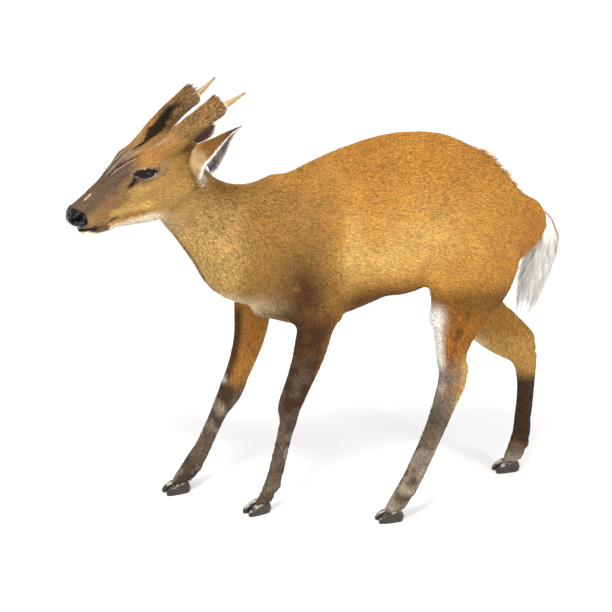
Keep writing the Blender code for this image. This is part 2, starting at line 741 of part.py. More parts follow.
def cutter_box(low, high):
    """A function that makes the box between two corners, widened by a margin in millimetres."""

    def make(margin):
        return box("cutter", [v - margin for v in low], [v + margin for v in high])

    return make


def part_off(flesh, name, make):
    """Takes what lies inside the cutter off the flesh, with a thin cut, as a new piece."""
    piece = copy_of(flesh, name)
    tight, wide = make(-GAP / MM / 2), make(GAP / MM / 2)
    boolean(piece, tight, "INTERSECT")
    boolean(flesh, wide, "DIFFERENCE")
    remove(tight, wide)
    keep_largest(flesh)
    return keep_largest(piece)


def head_plane(at, normal):
    """A point and a normal given in the head's frame, in metres in the animal's."""
    start = head(Vector(at))
    return start * MM, (head(Vector(at) + Vector(normal)) - start).normalized()


def turned_box(origin, angle, low, high):
    """A function that makes a box between two corners in a frame turned about Y at an origin."""

    def make(margin):
        def place(p):
            return Matrix.Rotation(angle, 3, "Y") @ p + Vector(origin)

        return box("cutter", [v - margin for v in low], [v + margin for v in high], place)

    return make


def head_box(low, high):
    """A function that makes a box in the head's frame."""

    def make(margin):
        return box("cutter", [v - margin for v in low], [v + margin for v in high], head)

    return make


def split(piece, point, normal, name):
    """Parts a piece in two with one plane: the new piece is the one that the normal points away from."""
    at = Vector(point) * MM
    other = half(piece, at, normal, name)
    half(piece, at, -Vector(normal))
    keep_largest(piece)
    return keep_largest(other)


def part_trunk(parts):
    """The torso, the neck and the head, parted with plane cuts."""
    body = fuse("torso", [*trunk(), neck(), *legs()], BODY_VOXEL, 6, BODY_TRIANGLES, 45)
    face = fuse("head", [*skull(), neck("neck_end")], HEAD_VOXEL, 11, HEAD_TRIANGLES)
    turn = Matrix.Rotation(BEND_ANGLE, 3, "Z")
    facing = turn @ Vector((-0.786, 0, 0.618))
    nape = bend(Vector((-178, 0, 460))) * MM
    half(face, nape, -facing)
    half(body, nape, facing)
    parts["neck"] = split(body, bend(Vector((-92, 0, 410))), turn @ Vector((0.94, 0, -0.34)), "neck")
    parts["torso"] = body
    parts["head"] = keep_largest(face)


def part_legs(parts):
    """Each leg off the torso, and apart at its joints, down to a flat above each hoof."""
    torso = parts["torso"]
    joints = {
        ("fore", "left"): [("cannon", (-29, 0, 146), (-0.06, 0, 1))],
        ("fore", "right"): [("cannon", (-94, 0, 131), (-0.3, 0, 0.95))],
        ("hind", "left"): [("shin", (199, 0, 284), (0.04, 0, 1)), ("cannon", (188, 0, 171), (-0.3, 0, 0.95))],
        ("hind", "right"): [("shin", (272, 0, 262), (-0.5, 0, 0.866)), ("cannon", (352, 0, 160), (0, 0, 1))],
    }
    shoulders = {
        "left": cutter_box((-100, -130, -20), (70, -31, 290)),
        "right": cutter_box((-200, 31, -20), (20, 130, 290)),
    }
    hips = {
        "left": turned_box((205, 0, 400), 0.44, (0, -140, -440), (260, -20, 0)),
        "right": turned_box((226, 0, 400), 0.3, (0, 20, -440), (260, 140, 0)),
    }
    for (limb, side), cuts in joints.items():
        top, cutters = ("arm", shoulders) if limb == "fore" else ("thigh", hips)
        piece = part_off(torso, f"{limb}leg_{top}_{side}", cutters[side])
        parts[piece.name] = piece
        for lower, at, normal in cuts:
            upward = Vector(normal) * (1 if normal[2] > 0 else -1)
            piece = split(piece, at, upward, f"{limb}leg_{lower}_{side}")
            parts[piece.name] = piece
        coronet, tilt = hoof_plane(limb, side)
        half(piece, coronet * MM, -tilt)
        keep_largest(piece)


def hoof_plane(limb, side):
    """The plane between a hoof and its leg: a point on it in millimetres, and its normal."""
    (x, y), toe = FEET[limb, side]
    turn = Matrix.Rotation(math.radians(toe), 3, "Z")
    return Vector((x, y, FLOOR + CORONET_HEIGHT)), (turn @ Vector((-0.3, 0, 0.954))).normalized()


def add_hooves(parts):
    """Two claws on each foot, cut off at the coronet and kept apart by the cleft."""
    for limb, side in FEET:
        coronet, tilt = hoof_plane(limb, side)
        (x, y), toe = FEET[limb, side]
        across = Matrix.Rotation(math.radians(toe), 3, "Z") @ Vector((0, 1, 0))
        for which in SIDES.values():
            piece = claw(limb, side, which)
            half(piece, coronet * MM, tilt)
            half(piece, Vector((x, y, 0)) * MM + across * which * CLEFT * MM / 2, across * -which)
            parts[piece.name] = keep_largest(piece)


def add_face(parts):
    """Eyes in open sockets, ears, pedicels with their antlers, the nose pad, and the mouth's cut."""
    face = parts["head"]
    clean = copy_of(face, "clean_head")
    for side, sign in SIDES.items():
        low, high = sorted((sign * 3, sign * 74))
        pedicel = part_off(face, f"pedicel_{side}", head_box((184, low, 30), (330, high, 130)))
        spike, at, way = antler(side)
        half(pedicel, at, way)
        half(spike, at, -way)
        parts[pedicel.name] = keep_largest(pedicel)
        parts[spike.name] = keep_largest(spike)
        leaf = clear_of(ear(side), clean)
        parts[leaf.name] = leaf
        open_eye(face, side)
        parts[f"eye_{side}"] = eye(side)
    remove(clean)
    parts["nose"] = nostrils(part_off(face, "nose", head_box((-30, -40, -16), (15, 40, 40))))
    cut_features(face)


# The colour of each kind of piece, and how rough the smooth ones are.
COLOURS = {
    "head": (0.32, 0.19, 0.09), "neck": (0.28, 0.17, 0.08), "torso": (0.47, 0.24, 0.08),
    "tail": (0.75, 0.72, 0.68), "nose": (0.015, 0.013, 0.013), "eye": (0.01, 0.008, 0.007),
    "ear": (0.33, 0.2, 0.11), "pedicel": (0.3, 0.18, 0.09), "antler": (0.62, 0.45, 0.24),
    "claw": (0.05, 0.04, 0.035), "foreleg": (0.12, 0.08, 0.055), "hindleg": (0.36, 0.18, 0.07),
}
GLOSSY = {"nose": 0.3, "eye": 0.08, "antler": 0.45, "claw": 0.4}


def finish(parts):
    """Gives each piece its material, and stands the animal on the floor with the origin under its middle."""
    corners = [v.co for piece in parts.values() for v in piece.data.vertices]
    middle_x = (min(c.x for c in corners) + max(c.x for c in corners)) / 2
    middle_y = (min(c.y for c in corners) + max(c.y for c in corners)) / 2
    shift = Matrix.Translation((-middle_x, -middle_y, -min(c.z for c in corners)))
    collection = bpy.data.collections.new("muntjac")
    bpy.context.scene.collection.children.link(collection)
    for name, piece in parts.items():
        piece.name = name
        piece.data.name = name
        piece.data.transform(shift)
        key = name.split("_")[0]
        material = bpy.data.materials.new(name)
        material.use_nodes = True
        shader = material.node_tree.nodes["Principled BSDF"]
        shader.inputs["Base Color"].default_value = (*COLOURS[key], 1)
        shader.inputs["Roughness"].default_value = GLOSSY.get(key, 0.85)
        shader.inputs["Metallic"].default_value = 0.0
        piece.data.materials.clear()
        piece.data.materials.append(material)
        bpy.context.scene.collection.objects.unlink(piece)
        collection.objects.link(piece)


def main():
    """Builds every piece of the animal."""
    for obj in list(bpy.data.objects):
        bpy.data.objects.remove(obj)
    parts = {}
    part_trunk(parts)
    part_legs(parts)
    add_face(parts)
    add_hooves(parts)
    brush = tail()
    for name in ("torso", "hindleg_thigh_left", "hindleg_thigh_right"):
        clear_of(brush, parts[name])
    parts["tail"] = brush
    finish(parts)


main()
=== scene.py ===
"""The looks of a still, life-size muntjac: one skin with its coat, face, antlers, hooves, tail and studio.

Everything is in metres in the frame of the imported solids. The skin is one closed body made from the solids
of flesh, and the coat's tufts are rooted in it. The markings are worked out once, from places on the animal,
and both skin and coat take them.
"""

import logging
import math
from dataclasses import dataclass, field
from enum import Enum
from typing import Callable

import bmesh
import bpy
import numpy as np
from mathutils import Matrix, Vector
from mathutils.bvhtree import BVHTree


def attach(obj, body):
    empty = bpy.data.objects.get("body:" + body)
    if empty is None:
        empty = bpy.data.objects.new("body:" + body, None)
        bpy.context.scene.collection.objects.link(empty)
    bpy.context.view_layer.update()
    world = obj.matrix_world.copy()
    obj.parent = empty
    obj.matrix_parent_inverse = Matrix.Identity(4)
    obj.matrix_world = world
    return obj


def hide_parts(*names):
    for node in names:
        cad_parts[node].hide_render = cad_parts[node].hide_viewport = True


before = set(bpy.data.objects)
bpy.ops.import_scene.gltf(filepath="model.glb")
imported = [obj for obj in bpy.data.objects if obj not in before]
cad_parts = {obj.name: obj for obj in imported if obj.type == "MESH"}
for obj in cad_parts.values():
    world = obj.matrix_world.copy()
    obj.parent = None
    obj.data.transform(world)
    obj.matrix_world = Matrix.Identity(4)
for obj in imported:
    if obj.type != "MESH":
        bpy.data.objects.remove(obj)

LOG = logging.getLogger("muntjac")
MM = 0.001
BODY = "root"
SIDES = {"left": -1.0, "right": 1.0}
UNWRAP = "OFBake"
TINT = "tint"
FLESH = (
    "head", "nose", "eye_left", "eye_right", "neck", "torso", "pedicel_left", "pedicel_right",
    *(f"{part}_{side}" for part in (
        "foreleg_arm", "foreleg_cannon", "hindleg_thigh", "hindleg_shin", "hindleg_cannon") for side in SIDES),
)

Array = np.ndarray
Path = tuple[tuple[float, ...], ...]


def fade(low: float, high: float, value: Array) -> Array:
    """A smooth step from 0 at low to 1 at high, which may run either way."""
    t = np.clip((value - low) / (high - low), 0.0, 1.0)
    return t * t * (3.0 - 2.0 * t)


def bell(value: Array, width: float) -> Array:
    """A round bump that is 1 where the value is 0."""
    return np.exp(-((value / width) ** 2))


def unit(vectors: Array) -> Array:
    """The vectors at length one."""
    return vectors / np.maximum(np.linalg.norm(vectors, axis=-1, keepdims=True), 1e-12)


def flattened(ways: Array, normals: Array) -> Array:
    """The directions laid flat on a surface with these normals."""
    return unit(ways - normals * np.sum(ways * normals, axis=1, keepdims=True))


def linear(colour: tuple[float, float, float]) -> Array:
    """A colour from its 0 to 255 display values to linear light."""
    value = np.array(colour, float) / 255.0
    return np.where(value <= 0.04045, value / 12.92, ((value + 0.055) / 1.055) ** 2.4)


def over(base: Array, tone: Array, part: Array) -> Array:
    """Colours, or directions, with others laid over them by shares from 0 to 1."""
    part = np.clip(part, 0.0, 1.0)[:, None]
    return base * (1.0 - part) + tone * part


def cloud(points: Array, size: float, seed: int) -> Array:
    """Smooth noise from 0 to 1.

    Args:
        points: N places.
        size: How far apart its lumps are, in the same unit.
        seed: Which noise.

    Returns:
        N values.
    """
    place = points / size
    cell = np.floor(place).astype(np.int64)
    part = place - cell
    part = part * part * (3.0 - 2.0 * part)
    total = np.zeros(len(points))
    for corner in range(8):
        step = np.array([corner & 1, corner >> 1 & 1, corner >> 2 & 1])
        at = cell + step
        mixed = (at[:, 0] * 73856093) ^ (at[:, 1] * 19349663) ^ (at[:, 2] * 83492791) ^ (seed * 2654435761)
        mixed = (mixed ^ (mixed >> 13)) * 1274126177 & 0xFFFFFFFF
        mixed ^= mixed >> 16
        weight = np.prod(np.where(step == 1, part, 1.0 - part), axis=1)
        total += weight * (mixed & 0xFFFF) / 65535.0
    return total


class Noise(Enum):
    """The noises that break up the colours: how far apart their lumps are, in metres, and the draw of each."""

    TRUNK = (0.05, 1)
    SHOULDER = (0.011, 21)
    LEG = (0.022, 5)
    LEG_FINE = (0.007, 6)
    LEG_DUST = (0.02, 9)
    THIGH_STREAK = (0.006, 23)
    ARM_RUST = (0.009, 12)
    ARM_SLATE = (0.012, 22)
    FRONT_SOOT = (0.018, 7)
    SHIN_SLATE = (0.008, 24)
    SHANK_SOOT = (0.02, 8)
    REAR_DUST = (0.013, 15)
    FACE = (0.012, 11)
    STRIPE = (0.0035, 25)
    CHIN = (0.003, 26)
    STALK = (0.004, 16)
    PATCHES = (0.03, 3)
    LONG_GRAIN = (0.0027, 4)
    GRAIN = (0.0016, 17)
    TUFTS = (0.006, 14)
    CLUMPS = (0.0045, 27)
    HOOF_WEAR = (0.006, 31)
    EAR_EDGES = (0.01, 33)
    EAR_STREAKS = (0.01, 34)
    EAR_BLOTS = (0.008, 35)

    def over(self, points: Array) -> Array:
        """The noise at places in metres, from 0 to 1."""
        return cloud(points, *self.value)


def from_path(points: Array, path: Path) -> Array:
    """The distance of each point from a line of straight pieces, in a plane or in space.

    Args:
        points: N points.
        path: The corners of the line.

    Returns:
        N distances.
    """
    nearest = np.full(len(points), np.inf)
    corners = np.array(path, float)
    for start, run in zip(corners, np.diff(corners, axis=0)):
        share = np.clip((points - start) @ run / (run @ run), 0.0, 1.0)
        nearest = np.minimum(nearest, np.linalg.norm(points - start - share[:, None] * run, axis=1))
    return nearest


@dataclass(frozen=True)
class Anatomy:
    """The animal's own frames, in millimetres: the body straight from nose to tail, and the head's."""

    stand: tuple[float, float, float] = (-11.7058, 10.9924, 4.5)
    bend_start: float = -20.0
    bend_length: float = 150.0
    bend_angle: float = math.radians(13.0)
    nose_tip: tuple[float, float, float] = (-359.0, 0.0, 459.0)
    head_pitch: float = math.radians(22.0)

    @property
    def radius(self) -> float:
        """The radius of the neck's bend."""
        return self.bend_length / self.bend_angle

    def straight(self, points: Array) -> Array:
        """Places in the straight body.

        Args:
            points: N places in metres.

        Returns:
            N places in millimetres.
        """
        p = points / MM - np.array(self.stand)
        x, y, z = p.T
        radius = self.radius
        ahead = self.bend_start - x
        angle = np.arctan2(ahead, y + radius)
        arc_x = self.bend_start - angle * radius
        arc_y = np.hypot(ahead, y + radius) - radius
        c, s = math.cos(self.bend_angle), math.sin(self.bend_angle)
        dx = x - (self.bend_start - radius * s)
        dy = y + radius * (1.0 - c)
        far_x = self.bend_start - self.bend_length - (-dx * c - dy * s)
        far_y = -dx * s + dy * c
        beyond = angle > self.bend_angle
        new_x = np.where(ahead <= 0, x, np.where(beyond, far_x, arc_x))
        new_y = np.where(ahead <= 0, y, np.where(beyond, far_y, arc_y))
        return np.stack([new_x, new_y, z], axis=1)

    def bent(self, points: Array) -> Array:
        """Places in metres of places in the straight body, the other way round from straight."""
        x, y, z = points.T
        s = self.bend_start - x
        radius = self.radius
        angle = np.clip(s / radius, 0.0, self.bend_angle)
        beyond = np.maximum(s - self.bend_length, 0.0)
        centre_x = self.bend_start - radius * np.sin(angle) - beyond * np.cos(angle)
        centre_y = -radius * (1.0 - np.cos(angle)) - beyond * np.sin(angle)
        centre_x = np.where(s <= 0, x, centre_x)
        centre_y = np.where(s <= 0, 0.0, centre_y)
        made = np.stack([centre_x - y * np.sin(angle), centre_y + y * np.cos(angle), z], axis=1)
        return (made + np.array(self.stand)) * MM

    def turned(self, straight: Array, ways: Array) -> Array:
        """Directions in the straight body, turned as the neck is.

        Args:
            straight: N places in the straight body.
            ways: N directions there.

        Returns:
            N directions in the model.
        """
        angle = np.clip((self.bend_start - straight[:, 0]) / self.radius, 0.0, self.bend_angle)
        c, s = np.cos(angle), np.sin(angle)
        x, y, z = ways.T
        return np.stack([x * c - y * s, x * s + y * c, z], axis=1)

    def head(self, straight: Array) -> Array:
        """Places in the head's frame: back from the nose, across to the right, and above its axis."""
        x = straight[:, 0] - self.nose_tip[0]
        z = straight[:, 2] - self.nose_tip[2]
        c, s = math.cos(self.head_pitch), math.sin(self.head_pitch)
        return np.stack([x * c + z * s, straight[:, 1], -x * s + z * c], axis=1)

    def unhead(self, places: Array) -> Array:
        """Places in metres of places in the head's frame."""
        u, y, v = places.T
        c, s = math.cos(self.head_pitch), math.sin(self.head_pitch)
        x = self.nose_tip[0] + u * c - v * s
        z = self.nose_tip[2] + u * s + v * c
        return self.bent(np.stack([x, y, z], axis=1))

    def head_point(self, u: float, y: float, v: float) -> Vector:
        """One place in metres of a place in the head's frame."""
        return Vector(self.unhead(np.array([[u, y, v]], float))[0])


ANATOMY = Anatomy()
NAPE = (-178.0, 460.0)  # Where the head meets the neck: along and up, in millimetres.
NAPE_AHEAD = (-0.786, 0.618)  # The way from there into the head.
WAIST = 90.0  # Where the forelegs' part of the straight body ends and the hind legs' begins, in millimetres.


@dataclass
class Places:
    """Places on the animal in all its frames, with the names that the markings use.

    Attributes:
        points: N places in metres.
        normals: N outward directions.
    """

    points: Array
    normals: Array
    straight: Array = field(init=False)
    head: Array = field(init=False)

    def __post_init__(self) -> None:
        """Works out the other frames."""
        self.straight = ANATOMY.straight(self.points)
        self.head = ANATOMY.head(self.straight)

    @classmethod
    def of(cls, mesh: bpy.types.Mesh) -> "Places":
        """The places of a mesh's points."""
        return cls(coords(mesh), coords(mesh, "normal"))

    @property
    def on_head(self) -> Array:
        """How far each place belongs to the head, from 0 to 1, softly over the nape."""
        x, _, z = self.straight.T
        return fade(-12.0, 12.0, (x - NAPE[0]) * NAPE_AHEAD[0] + (z - NAPE[1]) * NAPE_AHEAD[1])

    @property
    def on_neck(self) -> Array:
        """How far each place belongs to the neck and shoulders rather than the trunk."""
        return fade(-40.0, -110.0, self.straight[:, 0] - 0.25 * (self.straight[:, 2] - 400.0))

    @property
    def on_leg(self) -> Array:
        """How far each place belongs to a leg."""
        x, _, z = self.straight.T
        return np.where(x < WAIST, fade(292.0, 250.0, z), fade(325.0, 265.0, z))

    @property
    def half_head(self) -> Array:
        """The places in the head's frame with both halves of the head laid on one."""
        u, y, v = self.head.T
        return np.stack([u, np.abs(y), v], axis=1)

    @property
    def near_eye(self) -> Array:
        """The distance from the eye's middle, seen from the side, where 1 is the dark lids' edge."""
        return EYE.outline(self.head[:, 0], self.head[:, 2])

    @property
    def near_pad(self) -> Array:
        """The distance from the middle of the nose pad, where 1 is its edge."""
        return np.hypot((self.head[:, 0] + 2.0) / 22.4, (self.head[:, 2] + 7.0) / 18.0)

    def cloud(self, noise: Noise) -> Array:
        """One of the noises over the places."""
        return noise.over(self.points)

    def beside(self, path: Path) -> Array:
        """The distance from a line that is drawn on the head's side, in millimetres."""
        return from_path(self.head[:, ::2], path)

    def beside_fold(self, path: Path) -> Array:
        """The distance from a line in space on either half of the head, with heights made less of."""
        flat = np.array([1.0, 1.0, 0.35])
        return from_path(self.half_head * flat, np.array(path) * flat)


@dataclass(frozen=True)
class EyeShape:
    """Where the eye lies in the head's frame, in millimetres, and the opening between its lids."""

    at: tuple[float, float, float] = (112.8, 30.6, 19.2)
    size: tuple[float, float, float] = (14.6, 10.6, 10.8)
    half_length: float = 15.4
    rise: float = 8.0
    drop: float = 6.2
    slant: float = 0.25

    def above(self, u: Array, v: Array) -> Array:
        """How far places lie above the eye's slanted long axis."""
        return v - self.at[2] + (u - self.at[0]) * self.slant

    def outline(self, u: Array, v: Array) -> Array:
        """How far out each place is, seen from the side: 0 in the middle and 1 at the dark lids' edge."""
        above = self.above(u, v)
        return np.hypot((u - self.at[0]) / self.half_length, above / np.where(above > 0, self.rise, self.drop))

    def bulge(self, u: float, v: float) -> float:
        """How far the eyeball lies from the head's middle plane, seen from the side."""
        along = (u - self.at[0]) / self.size[0]
        above = self.above(u, v) / self.size[2]
        return self.at[1] + self.size[1] * math.sqrt(max(1.0 - along * along - above * above, 0.0))

    def rim(self, angle: float, grow: float) -> tuple[float, float]:
        """A place on the almond round the eye, grown or shrunk, as along and above in the head's frame."""
        c, s = math.cos(angle), math.sin(angle)
        along = self.half_length * grow * c
        above = (self.rise if s > 0 else self.drop) * grow * s * abs(s) ** 0.2
        return self.at[0] + along, self.at[2] + above - along * self.slant


EYE = EyeShape()

MOUTH = ((-3.0, -22.0), (8.0, -25.0), (19.5, -28.2), (27.6, -31.2), (34.0, -33.2), (40.5, -33.8), (45.0, -32.0))
GLAND = ((99.0, 21.5), (96.5, 18.0), (94.3, 14.6), (91.4, 11.2), (86.6, 9.6))
FOLD = ((72.8, 4.8, 27.8), (78.0, 5.6, 30.2), (84.3, 7.0, 32.6), (91.7, 9.4, 34.4), (98.2, 11.9, 36.0),
        (104.3, 13.1, 37.2), (110.8, 14.0, 38.2), (116.6, 14.7, 38.8))
FOLD_RIM = ((75.9, 8.4, 27.7), (81.6, 9.5, 30.1), (86.9, 11.2, 32.2), (96.2, 15.0, 35.0), (102.2, 17.0, 36.6),
            (110.6, 18.2, 37.9))
CREST = ((68.0, 0.0, 26.0), (77.5, 0.6, 30.4), (86.6, 1.0, 34.0), (99.8, 0.8, 38.1), (116.4, 0.6, 41.3))
RIDGE = ((90.0, 3.4, 34.4), (103.2, 5.0, 38.4), (112.3, 7.2, 39.4), (121.9, 10.5, 39.4), (130.0, 17.5, 40.0),
         (136.1, 25.0, 43.4), (145.6, 29.5, 46.4), (158.0, 34.4, 50.0), (166.9, 37.0, 52.5), (175.5, 38.4, 54.8))
STRIPE = ((100.0, 3.0, 38.0), (108.0, 3.4, 39.8), (118.0, 3.6, 41.3), (131.7, 4.4, 42.4), (139.6, 7.5, 42.4),
          (149.3, 14.4, 41.5), (155.4, 18.4, 44.4), (162.4, 18.6, 46.0), (170.7, 19.9, 49.7), (176.9, 21.6, 53.4),
          (190.7, 24.4, 58.5), (212.0, 27.0, 66.0))
STRIPE_WIDTHS = ((100.0, 1.1), (112.0, 1.8), (122.0, 2.8), (132.0, 4.6), (146.0, 5.4), (160.0, 5.0), (180.0, 3.8),
                 (212.0, 2.2))
THROAT_PATCH = ((193.0, 24.0, -22.0), (189.7, 24.8, -31.0), (178.2, 32.4, -35.0))


class Tone(Enum):
    """The coat's colours, as display values in even light."""

    RICH = (194, 128, 46)
    GOLD = (200, 145, 66)
    PALE_GOLD = (234, 194, 112)
    ORANGE = (186, 118, 38)
    OLIVE = (170, 127, 66)
    NECK = (200, 162, 100)
    FLANK_LOW = (132, 88, 34)
    ARM = (80, 52, 28)
    RUST = (148, 98, 44)
    SLATE = (112, 95, 78)
    DUST = (186, 170, 148)
    SOOT = (54, 41, 31)
    CREAM = (230, 212, 178)
    WHITE = (250, 248, 243)
    FACE = (102, 82, 66)
    MUZZLE = (142, 108, 72)
    CHEEK = (184, 142, 80)
    FOREHEAD = (167, 121, 65)
    STALK = (166, 130, 82)
    BLACK = (26, 21, 19)
    THROAT = (122, 98, 66)
    EAR_ROSE = (98, 70, 66)
    EAR_TIP = (82, 68, 60)
    DARK_GOLD = (132, 84, 26)
    LIP = (96, 74, 40)
    MAUVE = (146, 116, 96)
    BROW = (206, 138, 58)

    @property
    def light(self) -> Array:
        """The colour in linear light."""
        return linear(self.value)


Layers = tuple[tuple[Tone, Array | float], ...]


class Markings:
    """The coat's colours over the whole animal, with some painted highlights and shade, shared by the skin and every
    tuft.
    """

    def paint(self, places: Places) -> Array:
        """Colours for places on the animal.

        Args:
            places: The places.

        Returns:
            N linear colours.
        """
        colour = np.tile(Tone.GOLD.light, (len(places.points), 1))
        for tone, share in (*self._trunk(places), *self._legs(places)):
            colour = over(colour, tone.light, share)
        head = places.on_head
        for tone, share in self._face(places):
            colour = over(colour, tone.light, share * head)
        patch = 0.78 + 0.2 * places.cloud(Noise.PATCHES)
        coarse = 0.13 + 0.2 * places.on_neck * (1.0 - head) + 0.14 * np.maximum(head, places.on_leg)
        grain = Noise.LONG_GRAIN.over(places.points * [0.7, 1.0, 1.0]) + places.cloud(Noise.GRAIN) - 1.0
        return colour * (patch * (1.0 + coarse * grain))[:, None]

    @staticmethod
    def _trunk(places: Places) -> Layers:
        """The trunk, neck and haunches: golden above, olive ahead of the withers, painted highlight on the rear flank,
        painted shade beneath.
        """
        x, y, z = places.straight.T
        side = np.abs(y)
        wave = (places.cloud(Noise.TRUNK) - 0.5) * 30.0
        return (
            (Tone.RICH, 0.85 * fade(440.0, 510.0, z + wave)),
            # Painted highlight: a pale spot on the rear flank, where the light falls brightest.
            (Tone.PALE_GOLD, 0.62 * bell(x - 150.0, 60.0) * bell(z - 430.0 + wave * 0.6, 46.0)),
            (Tone.PALE_GOLD, 0.75 * bell(x - 82.0, 62.0) * bell(z - 386.0 + wave * 0.5, 28.0)),
            (Tone.PALE_GOLD, 0.6 * bell(x - 40.0, 15.0) * bell(z - 400.0, 62.0)),
            (Tone.ORANGE, 0.75 * fade(262.0, 300.0, x + wave * 0.5)),
            # Painted shade: the lower flank darker, and darkest along the trunk's lower edge, where shade falls
            # beneath the belly.
            (Tone.FLANK_LOW, 0.95 * fade(362.0, 324.0, z + wave * 0.4) * fade(30.0, 60.0, x)),
            (Tone.ARM, 0.6 * fade(334.0, 316.0, z + wave * 0.3) * fade(30.0, 60.0, x) * fade(170.0, 120.0, x)),
            (Tone.OLIVE, 0.85 * fade(34.0, -20.0, x + wave - 0.25 * (z - 420.0))),
            (Tone.ARM, 0.96 * bell(x + 23.0, 43.0) * bell(z - 332.0 + wave * 0.9, 54.0)
             * fade(30.0, 48.0, side) * fade(0.15, 0.55, places.cloud(Noise.SHOULDER) + 0.25)),
            (Tone.NECK, 0.75 * fade(-95.0, -135.0, x + wave * 0.5) * fade(480.0, 440.0, z + (x + 110.0) * 0.4)),
            (Tone.PALE_GOLD, 0.4 * fade(-95.0, -130.0, x) * fade(420.0, 385.0, z + (x + 110.0) * 0.4)),
            (Tone.GOLD, 0.5 * fade(470.0, 490.0, z + (x + 45.0) * 0.25) * fade(-170.0, -90.0, x)),
            (Tone.THROAT, 0.75 * fade(13.0, 5.0, side) * fade(-0.1, 0.5, -places.normals[:, 2])
             * fade(-100.0, -125.0, x)),
            (Tone.CREAM, 0.7 * fade(34.0, 16.0, side) * fade(345.0, 318.0, z + wave * 0.5)
             * fade(-25.0, -45.0, x)),
            (Tone.ARM, 0.6 * fade(46.0, 38.0, side) * fade(303.0, 295.0, z) * fade(-20.0, -50.0, x)),
            (Tone.CREAM, 0.55 * bell(x + 74.0, 24.0) * bell(z - 314.0, 14.0)),
            (Tone.WHITE, 0.8 * fade(46.0, 24.0, side) * fade(350.0, 325.0, z) * fade(125.0, 160.0, x)),
            (Tone.WHITE, 0.7 * fade(44.0, 26.0, side) * fade(395.0, 350.0, z) * fade(255.0, 285.0, x)),
        )

    @staticmethod
    def _legs(places: Places) -> Layers:
        """The legs' layers, from the elbows and knees down."""
        x, y, z = places.straight.T
        near = y < 0
        wave = (places.cloud(Noise.LEG) - 0.5) * 26.0
        fine = places.cloud(Noise.LEG_FINE)
        front = x < WAIST
        outward = np.where(near, -places.normals[:, 1], places.normals[:, 1])
        forward = -places.normals[:, 0]
        arm = fade(352.0, 292.0, z + wave * 1.2 + 0.35 * np.abs(x + 12.0)) * (front & near)
        arm = arm * fade(34.0, 46.0, np.abs(y)) * fade(58.0, 40.0, x) + front * near * fade(292.0, 262.0, z)
        back_edge = front * near * fade(0.1, 0.75, places.normals[:, 0]) * fade(196.0, 236.0, z + wave)
        inner = front & ~near
        strip = inner * fade(300.0, 270.0, z) * fade(0.15, 0.6, forward + 0.25 * outward)
        low_front = front * fade(172.0, 142.0, z + wave * 0.6)
        rear = ~front
        down_edge = rear * fade(0.0, 0.55, forward - outward * 0.25 - np.where(near, 0.0, 0.3))
        white = down_edge * fade(326.0, 300.0, z) * fade(176.0, 205.0, z + wave * 0.3)
        streak = from_path(places.straight[:, ::2], ((212.0, 318.0), (194.0, 262.0), (188.0, 215.0), (188.0, 176.0)))
        streak = rear * near * fade(9.0, 2.0, streak + wave * 0.3) * fade(0.1, 0.5, outward)
        streak = streak * fade(0.2, 0.6, places.cloud(Noise.THIGH_STREAK))
        ahead = forward * np.where(forward > 0, 22.0, 42.0)
        shank = rear * near * fade(214.0, 168.0, z + wave * 1.5 - ahead)
        calf = rear * near * fade(-0.1, -0.6, forward) * fade(150.0, 176.0, z) * fade(262.0, 232.0, z)
        far_shank = rear * fade(168.0, 140.0, z + wave * 0.5) * ~near
        dust = (near | front) * fade(170.0, 60.0, z) * fade(0.45, 0.7, fine)
        dust = dust * fade(0.3, 0.6, places.cloud(Noise.LEG_DUST))
        toes = fade(34.0, 20.0, z)
        return (
            (Tone.ORANGE, 0.55 * rear * fade(330.0, 280.0, z)),
            (Tone.FOREHEAD, 0.9 * inner * fade(310.0, 285.0, z)),
            (Tone.BROW, 0.66 * inner * fade(310.0, 285.0, z) * fade(160.0, 200.0, z)),
            (Tone.ARM, arm),
            (Tone.RUST, 0.2 * arm * fade(230.0, 275.0, z) * fade(0.35, 0.7, places.cloud(Noise.ARM_RUST))),
            (Tone.SLATE, 0.3 * arm * fade(262.0, 232.0, z) * fade(0.35, 0.75, places.cloud(Noise.ARM_SLATE))),
            (Tone.RUST, 0.85 * back_edge),
            (Tone.ARM, 0.9 * strip),
            (Tone.SLATE, low_front),
            (Tone.SOOT, 0.55 * low_front * fade(0.3, 0.7, places.cloud(Noise.FRONT_SOOT))),
            (Tone.WHITE, 0.92 * white),
            (Tone.ARM, 0.6 * streak),
            (Tone.SLATE, 0.6 * rear * near * fade(262.0, 190.0, z) * fade(0.3, 0.65, places.cloud(Noise.SHIN_SLATE))),
            (Tone.SLATE, shank),
            (Tone.DUST, 0.3 * rear * near * fade(255.0, 215.0, z) * fade(140.0, 175.0, z)),
            (Tone.PALE_GOLD, 0.55 * calf),
            # Painted light: the far thigh made paler, to offset the shade it lies in.
            (Tone.PALE_GOLD, 0.22 * rear * ~near * fade(330.0, 280.0, z) * fade(200.0, 232.0, z)),
            (Tone.PALE_GOLD, 0.45 * rear * ~near * fade(232.0, 205.0, z) * fade(138.0, 160.0, z)),
            (Tone.SOOT, 0.35 * shank * fade(0.4, 0.7, places.cloud(Noise.SHANK_SOOT))),
            (Tone.DUST, 0.48 * rear * near * fade(150.0, 110.0, z) * fade(0.35, 0.6, places.cloud(Noise.REAR_DUST))),
            (Tone.SOOT, 0.92 * far_shank * fade(30.0, 52.0, z + wave)),
            (Tone.SLATE, far_shank * fade(52.0, 30.0, z + wave)),
            (Tone.DUST, 0.6 * dust),
            (Tone.DUST, 0.5 * rear * toes),
            (Tone.SOOT, 0.3 * toes * front),
            (Tone.WHITE, 0.6 * inner * fade(9.0, 5.0, np.hypot(x + 98.0, (z - 176.0) * 0.55))),
            (Tone.ARM, 0.8 * inner * fade(13.0, 5.0, np.hypot(x + 93.0, (z - 152.0) * 0.6) + wave * 0.3)),
            (Tone.DUST, 0.6 * inner * fade(9.0, 4.0, np.hypot(x + 97.0, (z - 126.0) * 0.6) + wave * 0.3)),
        )

